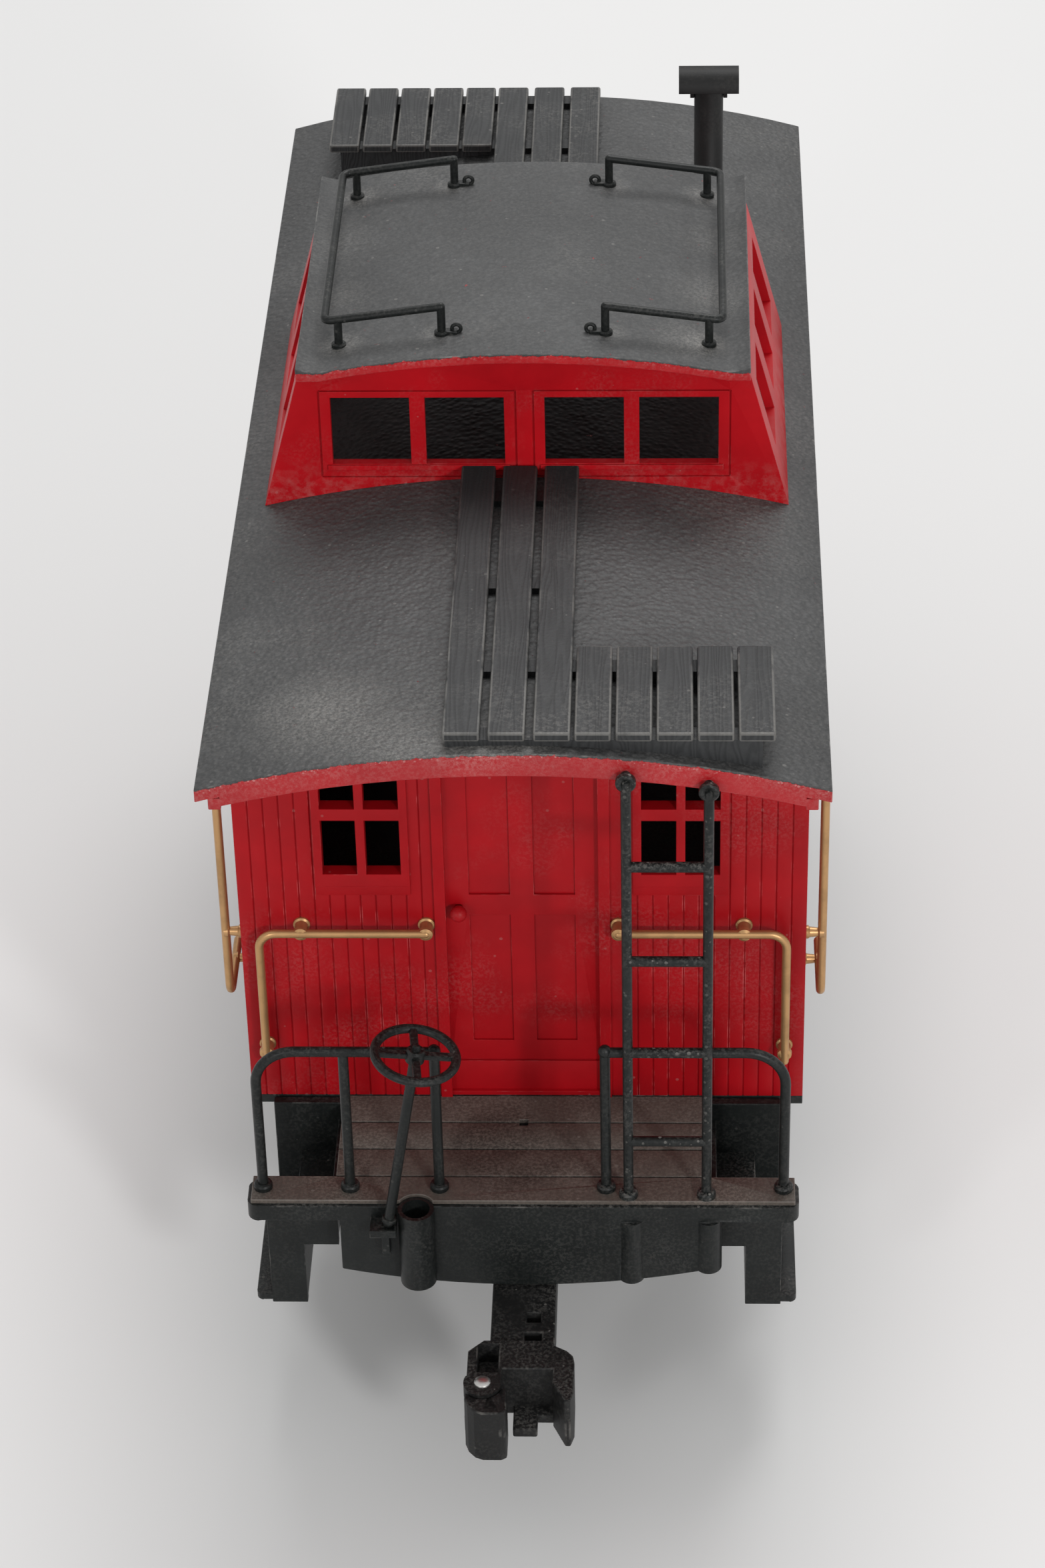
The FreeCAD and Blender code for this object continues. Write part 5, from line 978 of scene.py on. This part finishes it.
class CABOOSE_OT_railings(Step, bpy.types.Operator):
    """End railings and roof ladders"""
    bl_idname = "caboose.railings"
    bl_label = "Railings and ladders"

    posts, height, behind, bend, ball_r, ball_up = (16.8, 34.8, 52.4), 35.4, 0.4, 8.0, 1.35, 0.3
    stiles, out, stile_r, top_drop, foot, pad_drop = (21.3, 36.9), 1.7, 1.0, 16.7, 14.3, 4.3
    eaves, pad_out, arm_up, arm_r = 160.0, 0.8, 0.6, 0.95
    pad = ((0, 0), (0, 1.55), (0.25, 1.95), (1.3, 1.95), (1.6, 1.6), (1.45, 1.15), (1.3, 0.75),
           (1.85, 0.55), (1.85, 0))

    def railing(self, posts, side):
        y, top = self.behind - ROOF_END, FLOOR + self.height
        inner, outer = posts[0] * side, posts[-1] * side
        rail = [mm(inner, y, top), mm(outer, y, top), mm(outer, y, FLOOR)]
        uprights = [[mm(x * side, y, FLOOR), mm(x * side, y, top)] for x in posts[:-1]]
        parts = [bars([rail], BAR_R * MM, self.bend * MM, "black"), bars(uprights, BAR_R * MM, 0.0, "black"),
                 ball(mm(inner, y, top + self.ball_up), self.ball_r * MM, "black")]
        return parts + [collar(x * side, y, FLOOR, "black") for x in posts]

    def ladder(self, rungs):
        y = -ROOF_END - self.out
        left, right = self.stiles
        tops = [roof_height(x) - self.pad_drop for x in self.stiles]
        uprights = [[mm(x, y, FLOOR), mm(x, y, top)] for x, top in zip(self.stiles, tops)]
        parts = [bars(uprights, self.stile_r * MM, 0.0, "ladder")]
        high, low = self.eaves - self.top_drop, FLOOR + self.foot
        rung = bars([[mm(left, y, high), mm(right, y, high)]], BAR_R * MM, 0.0, "ladder")
        parts.append(row(rung, rungs, mm(0, 0, (low - high) / (rungs - 1)), "ladder"))
        for x, top in zip(self.stiles, tops):
            parts.append(collar(x, y, FLOOR, "ladder"))
            parts.append(turned(self.pad, mm(x, y + self.pad_out, top), (0, -1, 0), "ladder"))
            arm = [mm(x, y, top + self.arm_up), mm(x, -ROOF_END, top + self.arm_up)]
            parts.append(bars([arm], self.arm_r * MM, 0.0, "ladder"))
        return parts

    def execute(self, context):
        sizes = begin(context)
        for name, posts, side in (("brake_side", self.posts, -1),
                                  ("ladder_side", (self.posts[0], self.posts[-1]), 1)):
            place_ends("platform_railing_" + name, self.railing(posts, side), "car_body", [name + "_railing"],
                       "frame_black")
        place_ends("roof_ladder", self.ladder(sizes.rungs), "car_body", ["ladder"], "frame_black")
        return {"FINISHED"}


class CABOOSE_OT_grab_rails(Step, bpy.types.Operator):
    """Gold grab rails on the end walls and at the body corners"""
    bl_idname = "caboose.grab_rails"
    bl_label = "Grab rails"

    bar, bend, off, boss_r = 0.9, 3.6, 3.3, 1.7
    inner, outer, second, high, low, low_boss = 19.3, 52.9, 44.4, 105.5, 72.8, 74.6
    corner, side_top, side_low, side_run, run_boss = 2.8, 140.0, 84.6, 18.5, 12.5
    side_bosses = (137.0, 101.4)

    def boss(self, wall, out, share=1.0):
        radius = self.boss_r * share
        profile = [(0, 0), (0, radius), (0.5, radius), (0.8, radius * 0.8), (self.off - 0.9, radius * 0.66),
                   (self.off - 0.5, radius * 0.9), (self.off + 0.35, radius * 0.84),
                   (self.off + 0.6, radius * 0.5), (self.off + 0.6, 0)]
        return turned(profile, wall, out, "gold")

    def rail(self, path, bosses, out, share=1.0):
        parts = [bars([path], self.bar * MM, self.bend * MM, "gold")]
        parts += [ball(path[0], self.bar * MM, "gold"), ball(path[-1], self.bar * MM, "gold")]
        return parts + [self.boss(wall, out, share) for wall in bosses]

    def execute(self, context):
        begin(context)
        wall = -BODY_END
        y = wall - self.off
        path = [mm(-self.inner, y, self.high), mm(-self.outer, y, self.high), mm(-self.outer, y, self.low)]
        feet = [mm(-self.inner, wall, self.high), mm(-self.second, wall, self.high),
                mm(-self.outer, wall, self.low_boss)]
        end_rail = self.rail(path, feet, (0, -1, 0))
        x = -BODY_HALF - self.off
        y = wall + self.corner
        path = [mm(x, y, self.side_top), mm(x, y, self.side_low), mm(x, y + self.side_run, self.side_low)]
        feet = [mm(-BODY_HALF, y, z) for z in self.side_bosses]
        feet.append(mm(-BODY_HALF, y + self.run_boss, self.side_low))
        side_rail = self.rail(path, feet, (-1, 0, 0), 0.8)
        for name, node, parts in (("end_grab_bar", "end_grab_rail", end_rail),
                                  ("side_grab_bar", "side_grab_rail", side_rail)):
            place_ends(name + "_left", parts, "car_body", [node + "_left"], "gold_rail")
            place_ends(name + "_right", [moved(part, MIRROR) for part in parts], "car_body",
                       [node + "_right"], "gold_rail")
        return {"FINISHED"}


class CABOOSE_OT_brakes(Step, bpy.types.Operator):
    """Hand brakes: bracket, leaning staff and spoked wheel"""
    bl_idname = "caboose.brakes"
    bl_label = "Hand brakes"

    lean, foot, wheel_z = math.radians(9.0), (-27.2, -140.4, 55.2), 101.0
    rim, rim_r, spoke_start, spoke_half, spoke_edge = 8.05, 0.95, 0.5, (0.8, 0.6), 0.3
    turn, staff_start, staff_stop, washer_up = math.radians(6.0), 0.95, 1.5, 2.7
    hub = ((-1.5, 0), (-1.5, 1.5), (-1.2, 1.9), (1.1, 1.9), (1.5, 1.5), (1.5, 0.85), (2.3, 0.75),
           (2.5, 0.5), (2.5, 0))
    washer = ((0, 0), (0, 1.3), (0.2, 1.55), (0.8, 1.55), (1.0, 1.3), (1.0, 0))

    def execute(self, context):
        sizes = begin(context)
        axis = Vector((math.sin(self.lean), 0, math.cos(self.lean)))
        foot = mm(*self.foot)
        centre = foot + axis * ((self.wheel_z * MM - foot.z) / axis.z)
        tilt = Matrix.Rotation(self.lean, 4, "Y") @ Matrix.Rotation(self.turn, 4, "Z")
        wide, tall = self.spoke_half
        spoke = block(mm(self.spoke_start, -wide, -tall), mm(self.rim, wide, tall), self.spoke_edge * MM,
                      "black")
        wheel = [lathed(hoop(self.rim, self.rim_r, 14), (0, 0, 0), (0, 0, 1), "black", 56),
                 turned(self.hub, (0, 0, 0), (0, 0, 1), "black"),
                 grown(spoke, "ring", {"Count": sizes.spokes}, "black")]
        wheel = [moved(part, Matrix.Translation(centre) @ tilt) for part in wheel]
        place_ends("brake_handwheel", wheel, "brake_shaft", ["brake_wheel"], "frame_black")
        run = [foot + axis * (self.staff_start * MM), centre - axis * (self.staff_stop * MM)]
        staff = bars([run], BAR_R * MM, 0.0, "black")
        washer = turned(self.washer, foot + axis * (self.washer_up * MM), axis, "black")
        place_ends("brake_shaft_bar", [staff, washer], "brake_shaft", ["brake_staff"], "frame_black")
        for end in ENDS:
            cast(end + "brake_foot", end + "brake_bracket", sizes.edge, "black", "frame_black")
        return {"FINISHED"}


class CABOOSE_OT_couplers(Step, bpy.types.Operator):
    """Knuckle couplers with their pins, posts and screws"""
    bl_idname = "caboose.couplers"
    bl_label = "Couplers"

    def rivet(self):
        """Pin with a small domed head."""
        low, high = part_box("front_knuckle_pin")
        middle, head_r = (low + high) / 2, (high.x - low.x) / 2
        shaft_r, head_h = 1.2 * MM, 0.8 * MM
        length = high.z - low.z
        dome = [(length - head_h * (1 - math.sin(turn)), head_r * math.cos(turn))
                for turn in (math.pi / 2 * step / 6 for step in range(7))]
        profile = [(0, 0), (0, shaft_r), (length - head_h, shaft_r)] + dome[:-1] + [(length, 0)]
        return lathed(profile, (middle.x, middle.y, low.z), (0, 0, 1), "steel", 32)

    def execute(self, context):
        sizes = begin(context)
        place_ends("coupler_rivet", [self.rivet()], "coupler", ["knuckle_pin"], "steel")
        heavy = sizes.edge * 2.4
        for end in ENDS:
            cast(end + "coupler_head", end + "coupler_body", heavy, "coupler", "coupler_black",
                 end + "coupler")
            cast(end + "coupler_jaw", end + "coupler_knuckle", heavy, "coupler", "coupler_black",
                 end + "knuckle")
            cast(end + "coupler_post", end + "coupler_mount", sizes.edge, "coupler", "coupler_black")
            cast(end + "coupler_screw", end + "coupler_pivot_screw", sizes.edge, "steel", "steel")
        return {"FINISHED"}


class CABOOSE_OT_running_gear(Step, bpy.types.Operator):
    """Underframe, side frames with leaf springs, axles, wheels, bushes and screws"""
    bl_idname = "caboose.running_gear"
    bl_label = "Running gear"

    def execute(self, context):
        sizes = begin(context)
        for name, node, finish, slot in (("floor_frame", "underframe", "black", "frame_black"),
                                         ("truss_left", "side_frame_left", "black", "frame_black"),
                                         ("truss_right", "side_frame_right", "black", "frame_black"),
                                         ("axle_bearings", "axle_bushes", "brass", "brass_bush"),
                                         ("floor_screws", "body_screws", "steel", "steel")):
            cast(name, node, sizes.edge, finish, slot)
        for end in ENDS:
            for name, node, finish, slot in (("axle_rod", "axle", "steel", "steel"),
                                             ("tyre_left", "wheel_left", "wheel", "wheel_metal"),
                                             ("tyre_right", "wheel_right", "wheel", "wheel_metal")):
                cast(end + name, end + node, sizes.edge, finish, slot, end + "wheelset")
        return {"FINISHED"}


class CABOOSE_OT_stage(Step, bpy.types.Operator):
    """Pale floor, soft studio light and the camera"""
    bl_idname = "caboose.stage"
    bl_label = "Stage"

    floor_size, floor_drop = 8.0, 0.0002

    def softbox(self, name, place, target, size, power):
        light = bpy.data.lights.new(name, "AREA")
        light.shape, light.size, light.energy = "DISK", size, power
        lamp = bpy.data.objects.new(name, light)
        lamp.location = place
        lamp.rotation_euler = (Vector(target) - Vector(place)).to_track_quat("-Z", "Y").to_euler()
        bpy.context.scene.collection.objects.link(lamp)

    def execute(self, context):
        scene, stage = context.scene, context.scene.caboose_stage
        bpy.ops.mesh.primitive_plane_add(size=self.floor_size, location=(0, 0, -self.floor_drop))
        floor = context.object
        floor.name = "studio_floor"
        paper = Finish("Studio Paper", 0.75, 0.2)
        mottle = paper.graph.noise(paper.place, 3.0)
        paper.colour(paper.graph.mix(mottle, stage.floor, scaled(stage.floor, 0.985)))
        floor.data.materials.append(paper.material)
        world = bpy.data.worlds.new("Studio")
        world.use_nodes = True
        back = world.node_tree.nodes["Background"]
        back.inputs["Color"].default_value = (1.0, 1.0, 1.0, 1.0)
        back.inputs["Strength"].default_value = stage.ambient
        scene.world = world
        self.softbox("Key softbox", (0.62, -1.25, 0.62), (0.0, 0.0, 0.08), 0.16, stage.key)
        self.softbox("Left softbox", (-0.62, -1.20, 0.58), (0.0, 0.0, 0.08), 0.16, stage.side)
        self.softbox("Back softbox", (0.15, 0.85, 1.75), (0.0, 0.2, 0.05), 1.1, stage.fill)
        self.aim_camera(scene)
        scene.view_settings.view_transform = "Standard"
        scene.view_settings.look = "None"
        return {"FINISHED"}

    def aim_camera(self, scene):
        data = bpy.data.cameras.new("Camera")
        data.sensor_fit = "AUTO"
        data.sensor_width = CAMERA_SENSOR
        data.lens = CAMERA_LENS
        data.clip_start, data.clip_end = 0.05, 20.0
        forward = Vector(CAMERA_FORWARD).normalized()
        right = Vector(CAMERA_RIGHT).normalized()
        down = forward.cross(right).normalized()
        turned_right = right * math.cos(CAMERA_ROLL) + down * math.sin(CAMERA_ROLL)
        turned_down = down * math.cos(CAMERA_ROLL) - right * math.sin(CAMERA_ROLL)
        axes = Matrix((turned_right, -turned_down, -forward)).transposed().to_4x4()
        camera = bpy.data.objects.new("Camera", data)
        camera.matrix_world = Matrix.Translation(CAMERA_PLACE) @ axes
        scene.collection.objects.link(camera)
        scene.camera = camera


STEPS = (CABOOSE_OT_body, CABOOSE_OT_roof, CABOOSE_OT_walks, CABOOSE_OT_cupola, CABOOSE_OT_smokejack,
         CABOOSE_OT_platforms, CABOOSE_OT_railings, CABOOSE_OT_grab_rails, CABOOSE_OT_brakes,
         CABOOSE_OT_couplers, CABOOSE_OT_running_gear, CABOOSE_OT_stage)


class CABOOSE_PT_panel(bpy.types.Panel):
    """Sidebar list of the caboose's settings and build steps"""
    bl_idname = "CABOOSE_PT_panel"
    bl_label = "Bobber Caboose"
    bl_space_type = "VIEW_3D"
    bl_region_type = "UI"
    bl_category = "Caboose"

    def draw(self, context):
        scene = context.scene
        for settings in (scene.caboose_finish, scene.caboose_sizes, scene.caboose_stage):
            box = self.layout.box()
            for name in settings.__annotations__:
                box.prop(settings, name)
        for step in STEPS:
            self.layout.operator(step.bl_idname)


CLASSES = (CabooseFinish, CabooseSizes, CabooseStage) + STEPS + (CABOOSE_PT_panel,)


def register():
    for cls in CLASSES:
        bpy.utils.register_class(cls)
    bpy.types.Scene.caboose_finish = PointerProperty(type=CabooseFinish)
    bpy.types.Scene.caboose_sizes = PointerProperty(type=CabooseSizes)
    bpy.types.Scene.caboose_stage = PointerProperty(type=CabooseStage)


def unregister():
    del bpy.types.Scene.caboose_stage
    del bpy.types.Scene.caboose_sizes
    del bpy.types.Scene.caboose_finish
    for cls in reversed(CLASSES):
        bpy.utils.unregister_class(cls)


def main():
    register()
    for step in STEPS:
        group, name = step.bl_idname.split(".")
        getattr(getattr(bpy.ops, group), name)()


if __name__ == "__main__":
    main()
